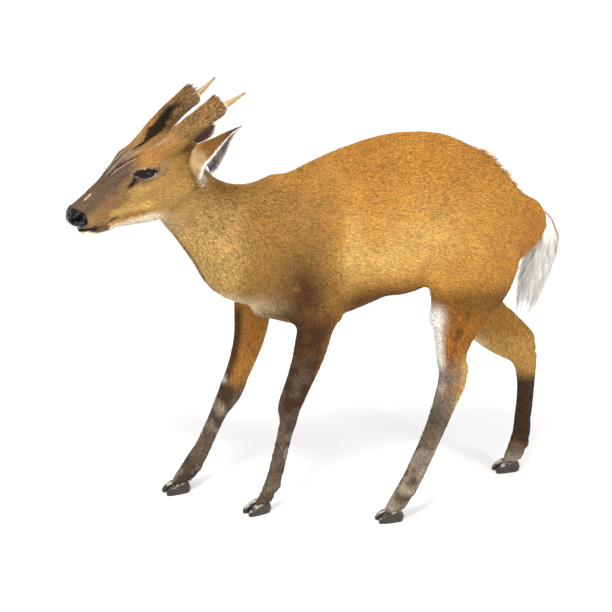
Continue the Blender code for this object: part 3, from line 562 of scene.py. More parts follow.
    @staticmethod
    def _face(places: Places) -> Layers:
        """The head's layers, from the cheeks to the nose."""
        u, y, v = places.head.T
        side = np.abs(y)
        wave = places.cloud(Noise.FACE) - 0.5
        lift = places.normals[:, 2]
        eye = places.near_eye
        out = fade(20.0, 28.0, side)
        bridge = places.beside(((0.0, 3.0), (30.0, 12.0), (66.0, 24.0), (90.0, 33.0), (104.0, 38.0))) + wave * 10.0
        on_bridge = fade(20.0, 7.0, bridge) * fade(122.0, 88.0, u)
        edge = np.interp(u, [30.0, 44.0, 53.0, 66.8, 82.6, 97.8, 116.0], [-60.0, -30.0, -17.0, -11.0, -8.0, -5.0, 4.0])
        muzzle = fade(-4.0, 5.0, v - edge + wave * 12.0) * fade(122.0, 92.0, u)
        forehead = fade(92.0, 120.0, u) * fade(20.0, 34.0, v + wave * 8.0) * fade(200.0, 160.0, u)
        stalk = fade(158.0, 186.0, u) * fade(30.0, 44.0, v)
        brow = bell(u - 122.0, 15.0) * bell(v - 35.0, 8.0) * out
        temple = bell(u - 141.0, 9.0) * bell(v - 18.0, 10.0) * out
        jaw_line = np.interp(
            u, [0.0, 10.0, 20.0, 30.0, 40.0, 49.0, 66.0, 86.0, 104.0, 116.0, 140.0],
            [-26.0, -27.5, -31.0, -35.5, -37.5, -35.5, -38.0, -39.5, -41.5, -46.0, -56.0])
        soft = 1.6 + 9.0 * fade(92.0, 128.0, u)
        white_jaw = fade(1.0, -1.0, (v - jaw_line + wave * 4.0) / soft) * fade(0.0, 8.0, u) * fade(150.0, 112.0, u)
        cheek_gold = fade(9.0, 2.0, places.beside(((58.0, -22.0), (80.0, -24.0), (104.0, -26.0))))
        jaw_shade = fade(3.4, 0.6, places.beside(((62.0, -33.0), (72.0, -34.0), (83.0, -34.7), (98.0, -34.8)))
                          + wave * 1.5) * fade(102.0, 90.0, u)
        lip = fade(3.6, 1.8, places.beside(MOUTH) + wave * 1.2) * fade(34.0, 27.0, u)
        lip_blot = fade(7.4, 4.4, np.hypot(u - 25.4, (v + 30.6) * 1.2) + wave * 2.5)
        lip_olive = fade(6.6, 4.0, places.beside(((30.0, -34.0), (41.0, -36.4))) + wave * 2.0)
        corner = fade(2.8, 1.0, places.beside(((43.6, -31.2), (51.5, -30.0))) + wave)
        corner = np.maximum(corner, fade(4.6, 2.2, places.beside(((52.5, -29.9), (58.0, -29.4))) + wave * 1.5))
        gland = fade(4.0, 2.2, places.beside(GLAND)) * out
        gland_rim = fade(2.6, 1.0, places.beside(((94.0, 22.4), (90.6, 18.0), (88.6, 14.4)))) * out
        lids = fade(1.18, 1.02, eye) * out * (0.3 + 0.7 * fade(-1.5, 0.5, EYE.above(u, v)))
        round_eye = fade(1.8, 1.15, eye) * out
        below_eye = bell(u - 97.0, 17.0) * bell(v - 1.0, 6.5) * out
        below_lid = fade(1.2, 0.5, np.abs(eye - 1.75) * 6.0) * fade(8.0, 2.0, v - 6.0) * out
        fold = fade(2.7, 1.3, places.beside_fold(FOLD))
        fold_rim = fade(2.6, 0.8, places.beside_fold(FOLD_RIM))
        crest = np.maximum(fade(3.2, 0.8, places.beside_fold(CREST)) * fade(66.0, 76.0, u),
                           fade(4.0, 0.8, places.beside_fold(RIDGE)) * fade(92.0, 104.0, u) * fade(176.0, 150.0, u))
        widths = np.array(STRIPE_WIDTHS)
        stripe = places.beside_fold(STRIPE) / np.interp(u, widths[:, 0], widths[:, 1])
        ragged = (places.cloud(Noise.STRIPE) - 0.5) * 0.7
        stripe = fade(1.4, 0.75, stripe + ragged) * fade(98.0, 110.0, u) * fade(228.0, 184.0, u)
        stripe = stripe * np.where(y > -1.0, 1.0, 0.5 * fade(122.0, 110.0, u) + 0.8 * fade(158.0, 172.0, u))
        stalk_front = fade(122.0, 132.0, u) * fade(188.0, 165.0, u) * fade(34.0, 40.0, v)
        stalk_front = stalk_front * fade(20.0, 24.0, side) * (y > 0)
        inner_stalk = fade(0.1, -0.5, places.normals[:, 1] * np.sign(y)) * stalk
        # Painted highlight: a small pale glint on the glossy hairs of the bridge.
        painted_bridge_highlight = fade(1.7, 0.6, places.beside_fold(((29.0, 6.6, 12.6), (38.6, 6.8, 16.4))))
        pad = fade(1.06, 0.98, places.near_pad)
        return (
            (Tone.CHEEK, 0.85),
            (Tone.PALE_GOLD, 0.55 * cheek_gold),
            (Tone.OLIVE, 0.6 * fade(118.0, 150.0, u) * fade(-30.0, 10.0, v)),
            (Tone.MUZZLE, 0.9 * muzzle),
            (Tone.MUZZLE, 0.55 * fade(56.0, 34.0, u) * fade(-38.0, -24.0, v)),
            (Tone.FOREHEAD, 0.5 * forehead),
            (Tone.STALK, 0.85 * stalk),
            (Tone.FOREHEAD, 0.5 * stalk * fade(0.2, 0.7, lift)),
            (Tone.FACE, 0.92 * on_bridge),
            (Tone.MAUVE, 0.45 * temple),
            (Tone.BROW, 0.36 * brow),
            (Tone.PALE_GOLD, 0.5 * below_eye),
            (Tone.DARK_GOLD, jaw_shade * (0.3 * out + 0.5 * fade(10.0, 13.0, side))),
            (Tone.CREAM, 0.85 * fade(4.4, 1.8, places.beside_fold(THROAT_PATCH) + wave * 2.0)),
            (Tone.MAUVE, 0.55 * round_eye),
            (Tone.FACE, 0.5 * below_lid),
            (Tone.SOOT, 0.3 * stalk * fade(0.5, 0.75, Noise.STALK.over(places.points * [0.3, 1.0, 0.6]))),
            (Tone.FACE, 0.3 * inner_stalk),
            (Tone.FOREHEAD, 0.7 * stalk_front),
            (Tone.BLACK, 0.95 * stripe),
            (Tone.DUST, 0.4 * crest),
            (Tone.DUST, 0.5 * fold_rim),
            (Tone.BLACK, 0.9 * fold),
            (Tone.CREAM, 0.88 * white_jaw * (1.0 - 0.45 * fade(104.0, 126.0, u))),
            (Tone.WHITE, 0.34 * white_jaw * fade(-1.0, -6.0, v - jaw_line) * fade(112.0, 96.0, u)),
            (Tone.WHITE, 0.6 * white_jaw * fade(26.0, 10.0, u)),
            (Tone.DUST, 0.3 * white_jaw * fade(26.0, 10.0, u) * fade(0.4, 0.65, places.cloud(Noise.CHIN))),
            (Tone.LIP, 0.9 * lip_olive),
            (Tone.BLACK, 0.92 * np.maximum(lip, lip_blot)),
            (Tone.FACE, 0.9 * corner * fade(9.0, 12.0, side)),
            (Tone.MAUVE, 0.6 * gland_rim),
            (Tone.SOOT, 0.95 * gland),
            (Tone.BLACK, 0.95 * fade(2.9, 1.5, places.beside(GLAND)) * out),
            (Tone.BLACK, lids),
            # The painted highlight on the bridge.
            (Tone.CREAM, 0.85 * painted_bridge_highlight * fade(3.0, 5.0, side)),
            (Tone.BLACK, pad),
        )


class Lie:
    """Which way the coat lies, everywhere on the animal."""

    def comb(self, places: Places) -> Array:
        """The way that each hair points, flat on the surface.

        Args:
            places: The places.

        Returns:
            N unit directions.
        """
        x, _, z = places.straight.T
        u, _, v = places.head.T
        c, s = math.cos(ANATOMY.head_pitch), math.sin(ANATOMY.head_pitch)
        back, up = np.array([c, 0.0, s]), np.array([-s, 0.0, c])
        down, rear = np.array([0.0, 0.0, -1.0]), np.array([1.0, 0.0, 0.0])
        haunch = fade(215.0, 320.0, x + (430.0 - z) * 0.35)
        chest = fade(-60.0, -100.0, x) * fade(0.0, 0.6, -places.normals[:, 0])
        way = rear + down * (0.22 + 0.55 * fade(430.0, 330.0, z) * fade(140.0, 30.0, x))[:, None]
        way = way + (down * 1.3 - rear * 0.35) * haunch[:, None]
        way = over(way, rear * 0.72 + down * 0.66, places.on_neck)
        way = over(way, rear * 0.25 + down, chest)
        way = over(way, down + rear * 0.12, places.on_leg)
        face = back - up * 0.16 * fade(30.0, -20.0, v)[:, None]
        face = over(face, back * 0.96 + up * 0.2, fade(150.0, 180.0, u) * fade(28.0, 42.0, v))
        way = over(way, face, places.on_head)
        return flattened(ANATOMY.turned(places.straight, unit(way)), places.normals)


@dataclass
class Surface:
    """What the coat needs of a mesh that it grows on.

    Attributes:
        points: The mesh's points, in metres.
        normals: The way out at each.
        triangles: Three point numbers for each triangle.
        patches: The unwrap's place of each triangle's corners.
        lie: The way the coat lies at each point.
        curl: How fast the surface falls away along the lie, in 1/m.
    """

    points: Array
    normals: Array
    triangles: Array
    patches: Array
    lie: Array
    curl: Array

    @classmethod
    def of(cls, piece: bpy.types.Object, lie: Callable[[Array, Array], Array]) -> "Surface":
        """Reads a finished mesh.

        Args:
            piece: The mesh object, with an OFBake map.
            lie: The way that the coat lies at points with normals.

        Returns:
            The surface.
        """
        mesh = piece.data
        mesh.calc_loop_triangles()
        points, normals = coords(mesh), coords(mesh, "normal")
        corners = numbers(mesh.loop_triangles, "loops", 3, np.int32)
        ways = lie(points, normals)
        return cls(
            points, normals, numbers(mesh.loop_triangles, "vertices", 3, np.int32),
            numbers(mesh.uv_layers[UNWRAP].data, "uv", 2)[corners], ways,
            cls._curl(points, normals, numbers(mesh.edges, "vertices", 2, np.int32), ways),
        )

    @staticmethod
    def _curl(points: Array, normals: Array, edges: Array, lie: Array) -> Array:
        """How fast the surface falls away along the lie at each point, evened out over its neighbours."""
        a, b = edges.T
        run = points[b] - points[a]
        length = np.maximum(np.linalg.norm(run, axis=1), 1e-9)
        bend = np.sum((normals[b] - normals[a]) * run, axis=1) / length**2
        total, weight = np.zeros(len(points)), np.full(len(points), 1e-6)
        for end in (a, b):
            share = np.sum(run / length[:, None] * lie[end], axis=1) ** 4
            total += np.bincount(end, share * bend, len(points))
            weight += np.bincount(end, share, len(points))
        curl = total / weight
        for _ in range(3):
            mean = np.bincount(a, curl[b], len(points)) + np.bincount(b, curl[a], len(points))
            count = np.bincount(a, minlength=len(points)) + np.bincount(b, minlength=len(points))
            curl = 0.5 * curl + 0.5 * mean / np.maximum(count, 1)
        return np.clip(curl, -40.0, 60.0)


@dataclass
class Rooted:
    """Places where tufts grow, drawn over a surface."""

    points: Array
    normals: Array
    lie: Array
    curl: Array
    patches: Array

    @classmethod
    def draw(cls, surface: Surface, density: Array, count: int, rng: np.random.Generator) -> "Rooted":
        """Draws places over a surface.

        Args:
            surface: The surface.
            density: How thickly each triangle is covered, as a share.
            count: How many places.
            rng: The draw.

        Returns:
            The places.
        """
        corners = surface.points[surface.triangles]
        area = np.linalg.norm(np.cross(corners[:, 1] - corners[:, 0], corners[:, 2] - corners[:, 0]), axis=1)
        chance = area * density
        steps = np.cumsum(chance)
        even = (np.arange(count) + rng.random(count)) / count * steps[-1]
        chosen = np.minimum(np.searchsorted(steps, even), len(steps) - 1)
        root = np.sqrt(rng.random(count))
        other = rng.random(count)
        share = np.stack([1.0 - root, root * (1.0 - other), root * other], axis=1)
        ids = surface.triangles[chosen]

        def mixed(values: Array) -> Array:
            """The values at the chosen places."""
            if values.ndim == 1:
                return np.sum(values[ids] * share, axis=1)
            return np.sum(values[ids] * share[:, :, None], axis=1)

        patches = np.sum(surface.patches[chosen] * share[:, :, None], axis=1)
        normals = unit(mixed(surface.normals))
        lie = flattened(mixed(surface.lie), normals)
        return cls(mixed(surface.points), normals, lie, mixed(surface.curl), patches)

    def some(self, part: Array) -> "Rooted":
        """The places with these numbers."""
        return Rooted(self.points[part], self.normals[part], self.lie[part], self.curl[part], self.patches[part])


PATCH = 0.0015  # Half the width of the place that each tuft takes on its surface's unwrap.
ROOT_DEPTH = 0.0004
TUFT_FACES = np.array(
    [[0, 4, 1], [0, 2, 4], [1, 4, 3], [2, 5, 4], [4, 5, 3], [0, 1, 3], [0, 3, 2], [2, 3, 5]], np.int64
)
TUFT_SHADES = np.array([0.86, 0.86, 0.98, 0.98, 1.0, 1.07])
TUFT_PATCH = np.array([[-1, -1], [1, -1], [-1, 0], [1, 0], [0, 0], [0, 1]], float) * PATCH


def joined_mesh(name: str, points: Array, faces: Array, patches: Array, colours: Array) -> bpy.types.Object:
    """A mesh object from arrays of points, triangles, their places on the unwrap, and colours.

    Args:
        name: The object's name.
        points: N places in metres.
        faces: M triangles.
        patches: N places on the unwrap.
        colours: N linear colours.

    Returns:
        The object.
    """
    mesh = bpy.data.meshes.new(name)
    mesh.vertices.add(len(points))
    mesh.vertices.foreach_set("co", points.astype(np.float32).ravel())
    mesh.loops.add(faces.size)
    mesh.loops.foreach_set("vertex_index", faces.astype(np.int32).ravel())
    mesh.polygons.add(len(faces))
    mesh.polygons.foreach_set("loop_start", np.arange(0, faces.size, 3, dtype=np.int32))
    mesh.update(calc_edges=True)
    layer = mesh.uv_layers.new(name=UNWRAP)
    layer.data.foreach_set("uv", patches[faces.ravel()].astype(np.float32).ravel())
    set_tint(mesh, colours)
    smooth_faces(mesh)
    return new_object(name, mesh)


def tuft_mesh(
    name: str, rooted: Rooted, length: Array, width: Array, stand: Array, colours: Array, rng: np.random.Generator
) -> bpy.types.Object:
    """Flat tapered tufts as one mesh, each a closed body with a low ridge.

    Args:
        name: The object's name.
        rooted: Where they grow.
        length: Each tuft's length in metres.
        width: Its width.
        stand: How far its tip stands off the surface.
        colours: Its linear colour.
        rng: The draw for their small turns.

    Returns:
        The mesh object.
    """
    count = len(length)
    across = np.cross(rooted.normals, rooted.lie)
    turn = rng.normal(0.0, 0.16, count)[:, None]
    lie = rooted.lie * np.cos(turn) + across * np.sin(turn)
    across = np.cross(rooted.normals, lie)
    swerve = rng.normal(0.0, 0.07, count)[:, None] * length[:, None] * across
    length, width, stand = length[:, None], width[:, None], stand[:, None]
    fall = np.clip(rooted.curl[:, None] * length**2, -0.3 * length, 0.5 * length)
    up = rooted.normals
    root = rooted.points - up * ROOT_DEPTH
    middle = rooted.points + lie * length * 0.5 + up * (stand * 0.62 - fall / 8.0)
    tip = rooted.points + lie * length + up * (stand - fall / 2.0) + swerve
    points = np.stack([
        root - across * width * 0.36, root + across * width * 0.36,
        middle - across * width * 0.5, middle + across * width * 0.5,
        middle + up * width * 0.3, tip,
    ], axis=1)
    faces = (TUFT_FACES[None] + 6 * np.arange(count)[:, None, None]).reshape(-1, 3)
    patches = rooted.patches[:, None, :] + TUFT_PATCH[None]
    tones = colours[:, None, :] * TUFT_SHADES[None, :, None]
    return joined_mesh(name, points.reshape(-1, 3), faces, patches.reshape(-1, 2), tones.reshape(-1, 3))


class Wire:
    """An output of a shader node, with arithmetic that adds Math nodes."""

    def __init__(self, shader: "Shader", socket: bpy.types.NodeSocket) -> None:
        """Keeps the socket and the shader that it belongs to."""
        self.shader = shader
        self.socket = socket

    def _maths(self, operation: str, first: "Wire | float", second: "Wire | float") -> "Wire":
        """A Math node on two values."""
        return self.shader.node("ShaderNodeMath", {"operation": operation}, {0: first, 1: second})

    def __add__(self, other: "Wire | float") -> "Wire":
        """The sum."""
        return self._maths("ADD", self, other)

    def __radd__(self, other: float) -> "Wire":
        """The sum."""
        return self._maths("ADD", other, self)

    def __sub__(self, other: "Wire | float") -> "Wire":
        """The difference."""
        return self._maths("SUBTRACT", self, other)

    def __rsub__(self, other: float) -> "Wire":
        """The difference from a number."""
        return self._maths("SUBTRACT", other, self)

    def __mul__(self, other: "Wire | float") -> "Wire":
        """The product."""
        return self._maths("MULTIPLY", self, other)

    def __rmul__(self, other: float) -> "Wire":
        """The product."""
        return self._maths("MULTIPLY", other, self)


class Shader:
    """A material on a Principled shader, and the nodes that feed it."""

    def __init__(self, name: str, **settings: float | tuple[float, ...]) -> None:
        """Makes the material.

        Args:
            name: Its name.
            **settings: Values of the shader's own sockets, with _ for a space.
        """
        self.material = bpy.data.materials.new(name)
        self.material.use_nodes = True
        self.tree = self.material.node_tree
        self.surface = self.tree.nodes["Principled BSDF"]
        for key, value in settings.items():
            self.surface.inputs[key.replace("_", " ")].default_value = value

    def node(
        self, kind: str, settings: dict | None = None, inputs: dict | None = None, output: str | int = 0
    ) -> Wire:
        """Adds a node.

        Args:
            kind: The node's type.
            settings: Its own settings, such as an operation, or a ramp's stops.
            inputs: Values or wires for its sockets, by name or number.
            output: Which output to return.

        Returns:
            The output.
        """
        made = self.tree.nodes.new(kind)
        for key, value in (settings or {}).items():
            if key == "stops":
                ramp = made.color_ramp
                while len(ramp.elements) < len(value):
                    ramp.elements.new(0.5)
                for element, (at, colour) in zip(ramp.elements, value):
                    element.position = at
                    element.color = (*colour, 1.0)
            else:
                setattr(made, key, value)
        for key, value in (inputs or {}).items():
            self.feed(made.inputs[key], value)
        return Wire(self, made.outputs[output])

    def feed(self, socket: bpy.types.NodeSocket, value: "Wire | float | tuple[float, ...]") -> None:
        """Links a wire to a socket, or sets its value."""
        if isinstance(value, Wire):
            self.tree.links.new(value.socket, socket)
        else:
            socket.default_value = value

    def set(self, name: str, value: Wire) -> None:
        """Feeds one of the shader's own sockets."""
        self.feed(self.surface.inputs[name], value)

    def place(self, stretch: tuple[float, float, float] = (1.0, 1.0, 1.0)) -> Wire:
        """Object coordinates in metres, stretched along the axes."""
        plain = self.node("ShaderNodeTexCoord", output="Object")
        return self.node("ShaderNodeMapping", {}, {"Vector": plain, "Scale": stretch})

    def noise(self, scale: float, detail: float = 3.0, where: Wire | None = None) -> Wire:
        """Noise from 0 to 1 with lumps 1/scale metres apart."""
        where = where or self.place()
        return self.node("ShaderNodeTexNoise", {}, {"Vector": where, "Scale": scale, "Detail": detail}, "Fac")

    def mix(self, share: Wire | float, first: Wire | tuple, second: Wire | tuple, blend: str = "MIX") -> Wire:
        """A mix of two colours."""
        made = self.tree.nodes.new("ShaderNodeMix")
        made.data_type = "RGBA"
        made.blend_type = blend
        self.feed(made.inputs[0], share)
        self.feed(made.inputs[6], first)
        self.feed(made.inputs[7], second)
        return Wire(self, made.outputs[2])

    def ramp(self, value: Wire, *stops: tuple[float, tuple[float, float, float]]) -> Wire:
        """A colour ramp."""
        return self.node("ShaderNodeValToRGB", {"stops": stops}, {"Fac": value}, "Color")

    def between(self, value: Wire, low: float, high: float) -> Wire:
        """A smooth step of a value between two limits."""
        limits = {"Value": value, "From Min": low, "From Max": high}
        return self.node("ShaderNodeMapRange", {"interpolation_type": "SMOOTHSTEP"}, limits)

    def bump(self, height: Wire, depth: float, strength: float = 1.0) -> None:
        """Feeds the normal from a height, depth in metres."""
        inputs = {"Height": height, "Distance": depth, "Strength": strength}
        self.set("Normal", self.node("ShaderNodeBump", {}, inputs))

    def tint(self) -> Wire:
        """The mesh's own colours."""
        return self.node("ShaderNodeAttribute", {"attribute_name": TINT}, {}, "Color")

    def shaded_tint(self, shade: Wire) -> Wire:
        """The mesh's own colours, multiplied by a shade."""
        return self.mix(1.0, self.tint(), shade, "MULTIPLY")


@dataclass(frozen=True)
class HairFinish:
    """Short glossy hair in the markings' colours, finely speckled."""

    roughness: float = 0.55
    speckle: float = 0.18
    grain: float = 900.0

    def material(self, name: str) -> bpy.types.Material:
        """The material."""
        shader = Shader(name, Roughness=self.roughness, Specular_IOR_Level=0.16)
        fleck = shader.noise(self.grain, 2.0)
        dark = shader.mix(self.speckle, (1.0, 1.0, 1.0, 1.0), shader.ramp(
            fleck, (0.3, (0.45, 0.42, 0.4)), (0.55, (1.0, 1.0, 1.0)), (0.75, (1.25, 1.22, 1.15))))
        shader.set("Base Color", shader.shaded_tint(dark))
        return shader.material


@dataclass(frozen=True)
class HideFinish:
    """The close undercoat on the skin, in the markings' colours, with a fine lie of hairs as bump."""

    roughness: float = 0.72

    def material(self, name: str) -> bpy.types.Material:
        """The material."""
        shader = Shader(name, Roughness=self.roughness, Specular_IOR_Level=0.14)
        fine = shader.noise(700.0, 4.0, shader.place((0.35, 1.0, 1.0)))
        shade = shader.ramp(fine, (0.25, (0.76, 0.74, 0.72)), (0.7, (1.0, 0.99, 0.98)))
        shader.set("Base Color", shader.shaded_tint(shade))
        shader.bump(fine, 0.0005, 0.7)
        return shader.material


@dataclass(frozen=True)
class WetSkinFinish:
    """Black, moist, finely pebbled skin, as on the nose and the lids."""

    colour: tuple[float, float, float] = (0.004, 0.0035, 0.004)
    roughness: float = 0.14
    pebble: float = 700.0
    depth: float = 0.0003
    tinted: bool = False
    wet: float = 0.85

    def material(self, name: str) -> bpy.types.Material:
        """The material."""
        shader = Shader(name, Specular_IOR_Level=0.06, Coat_Roughness=0.05)
        shader.set("Coat Weight", shader.between(shader.noise(150.0, 1.0), 0.47, 0.6) * self.wet)
        cells = shader.node(
            "ShaderNodeTexVoronoi", {"feature": "DISTANCE_TO_EDGE"}, {"Vector": shader.place(), "Scale": self.pebble},
            "Distance",
        )
        lumps = shader.between(cells, 0.0, 0.35)
        shader.set("Base Color", shader.tint() if self.tinted else self._mottled(shader))
        shader.set("Roughness", shader.noise(420.0) * 0.2 + (self.roughness - 0.08))
        shader.bump(lumps, self.depth, 0.8)
        return shader.material

    def _mottled(self, shader: Shader) -> Wire:
        """The skin's own colour, darker and paler in places."""
        dark = tuple(c * 0.6 for c in self.colour)
        pale = tuple(min(c * 2.4 + 0.004, 1.0) for c in self.colour)
        return shader.ramp(shader.noise(260.0), (0.3, dark), (0.6, self.colour), (0.85, pale))


@dataclass(frozen=True)
class EyeFinish:
    """A wet, nearly black eye with a deep brown iris and a level pupil."""

    def material(self, name: str) -> bpy.types.Material:
        """The material, which reads the eye's own colours."""
        shader = Shader(name, Roughness=0.035, Specular_IOR_Level=0.18)
        streak = shader.ramp(shader.noise(500.0), (0.3, (0.6, 0.6, 0.6)), (0.7, (1.3, 1.25, 1.2)))
        shader.set("Base Color", shader.shaded_tint(streak))
        return shader.material


@dataclass(frozen=True)
class HornFinish:
    """Polished tan horn with fine lengthwise streaks, paler at the burr and brown at the tip."""

    roughness: float = 0.38

    def material(self, name: str) -> bpy.types.Material:
        """The material, which reads the antler's own colours."""
        shader = Shader(name, Specular_IOR_Level=0.45)
        streak = shader.noise(900.0, 4.0, shader.place((0.2, 1.0, 0.45)))
        shade = shader.ramp(streak, (0.3, (0.58, 0.5, 0.42)), (0.55, (1.0, 1.0, 1.0)), (0.8, (1.15, 1.12, 1.05)))
        shader.set("Base Color", shader.mix(0.8, shader.tint(), shader.shaded_tint(shade)))
        shader.set("Roughness", streak * 0.3 + (self.roughness - 0.12))
        shader.bump(streak, 0.0004, 0.7)
        return shader.material


@dataclass(frozen=True)
class HoofFinish:
    """Dark worn horn with growth lines round it and pale dust on its upper faces."""

    roughness: float = 0.34

    def material(self, name: str) -> bpy.types.Material:
        """The material, which reads the hoof's own colours."""
        shader = Shader(name, Specular_IOR_Level=0.45)
        lines = shader.noise(1.0, 3.0, shader.place((60.0, 60.0, 900.0)))
        scuff = shader.noise(420.0, 5.0)
        shade = shader.ramp(lines, (0.3, (0.6, 0.58, 0.56)), (0.7, (1.2, 1.18, 1.15)))
        base = shader.shaded_tint(shade)
        worn = shader.between(scuff, 0.58, 0.74) * 0.3
        shader.set("Base Color", shader.mix(worn, base, (0.36, 0.31, 0.25, 1.0)))
        shader.set("Roughness", scuff * 0.4 + (self.roughness - 0.15))
        shader.bump(lines * 0.7 + scuff * 0.3, 0.0003, 0.7)
        return shader.material


def new_object(name: str, data: bpy.types.ID) -> bpy.types.Object:
    """An object for a mesh, curve, light or camera, in the scene's own collection."""
    made = bpy.data.objects.new(name, data)
    bpy.context.scene.collection.objects.link(made)
    return made


def as_it_is(name: str, bm: bmesh.types.BMesh) -> bpy.types.Object:
    """The bmesh as an object at the origin."""
    mesh = bpy.data.meshes.new(name)
    bm.to_mesh(mesh)
    bm.free()
    return new_object(name, mesh)


def from_bmesh(name: str, bm: bmesh.types.BMesh, smooth: bool = True) -> bpy.types.Object:
    """The bmesh as an object at the origin, its faces outwards."""
    bmesh.ops.remove_doubles(bm, verts=bm.verts, dist=1e-7)
    bmesh.ops.recalc_face_normals(bm, faces=bm.faces)
    for face in bm.faces:
        face.smooth = smooth
    return as_it_is(name, bm)


def copied(*nodes: str) -> bmesh.types.BMesh:
    """Copies of solids in one bmesh, with their doubled points joined."""
    bm = bmesh.new()
    for node in nodes:
        bm.from_mesh(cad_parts[node].data)
    bmesh.ops.remove_doubles(bm, verts=bm.verts, dist=1e-6)
    return bm


def applied(obj: bpy.types.Object) -> bpy.types.Object:
    """The object with its modifiers applied."""
    graph = bpy.context.evaluated_depsgraph_get()
    graph.update()
    made = bpy.data.meshes.new_from_object(obj.evaluated_get(graph))
    old = obj.data
    obj.modifiers.clear()
    obj.data = made
    bpy.data.meshes.remove(old)
    return obj


def modifier(obj: bpy.types.Object, kind: str, **settings: object) -> None:
    """Adds a modifier with these settings."""
    made = obj.modifiers.new(kind.lower(), kind)
    for key, value in settings.items():
        setattr(made, key, value)


def numbers(items: bpy.types.bpy_prop_collection, key: str, width: int, kind: type = float) -> Array:
    """One property of all items of a mesh, as rows of numbers."""
    values = np.empty(len(items) * width, kind)
    items.foreach_get(key, values)
    return values.reshape(-1, width)


def coords(mesh: bpy.types.Mesh, what: str = "co") -> Array:
    """The mesh's points, or their normals."""
    return numbers(mesh.vertices, what, 3)


def set_coords(mesh: bpy.types.Mesh, points: Array) -> None:
    """Moves the mesh's points."""
    mesh.vertices.foreach_set("co", points.astype(np.float32).ravel())
    mesh.update()


def smooth_faces(mesh: bpy.types.Mesh) -> None:
    """Shades the mesh's faces smoothly."""
    mesh.polygons.foreach_set("use_smooth", np.ones(len(mesh.polygons), bool))


def set_tint(mesh: bpy.types.Mesh, colours: Array) -> None:
    """Gives the mesh's points their colours."""
    tint = mesh.color_attributes.new(TINT, "FLOAT_COLOR", "POINT")
    values = np.concatenate([colours, np.ones((len(colours), 1))], axis=1)
    tint.data.foreach_set("color", values.astype(np.float32).ravel())


def unwrap(obj: bpy.types.Object) -> None:
    """Unwraps the object into a map named OFBake, cut where it turns sharply."""
    for other in bpy.context.selected_objects:
        other.select_set(False)
    bpy.context.view_layer.objects.active = obj
    obj.select_set(True)
    for layer in list(obj.data.uv_layers):
        obj.data.uv_layers.remove(layer)
    obj.data.uv_layers.new(name=UNWRAP)
    bpy.ops.object.mode_set(mode="EDIT")
    bpy.ops.mesh.select_all(action="SELECT")
    bpy.ops.uv.smart_project(angle_limit=math.radians(66), island_margin=0.002)
    bpy.ops.object.mode_set(mode="OBJECT")
    obj.select_set(False)


def dress(obj: bpy.types.Object, material: bpy.types.Material, slot: str, *nodes: str) -> bpy.types.Object:
    """Gives a piece its material, its body and the nodes that it stands for."""
    obj.data.materials.clear()
    obj.data.materials.append(material)
    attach(obj, BODY)
    if nodes:
        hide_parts(*nodes)
    LOG.info("%s: %d faces", obj.name, len(obj.data.polygons))
    return obj


def thinned(count: int, share: int) -> int:
    """A number of tufts, as it is."""
    return count


def tube(
    place: Callable[[float, float], Vector], sides: int, rings: int, caps: bool = True
) -> bmesh.types.BMesh:
    """A tube, extruded ring by ring and then put in shape.

    Args:
        place: Gives a place for an angle and a share of the length.
        sides: How many sides.
        rings: How many rings.
        caps: Whether its ends are closed.

    Returns:
        The bmesh.
    """
    bm = bmesh.new()
    made = bmesh.ops.create_circle(bm, cap_ends=False, segments=sides, radius=1.0)
    edges = list({edge for vert in made["verts"] for edge in vert.link_edges})
    for _ in range(rings - 1):
        out = bmesh.ops.extrude_edge_only(bm, edges=edges)["geom"]
        bmesh.ops.translate(bm, vec=(0, 0, 1), verts=[g for g in out if isinstance(g, bmesh.types.BMVert)])
        edges = [g for g in out if isinstance(g, bmesh.types.BMEdge)]
    for vert in bm.verts:
        vert.co = place(math.atan2(vert.co.y, vert.co.x), vert.co.z / (rings - 1))
    if caps:
        bmesh.ops.holes_fill(bm, edges=bm.edges, sides=0)
    return bm


HEEL = (316.5, 261.2)  # Where the far hind leg's rear edge begins: along and up, in millimetres.
HEEL_OUT = (0.701, 0.713)  # The way out from that edge.


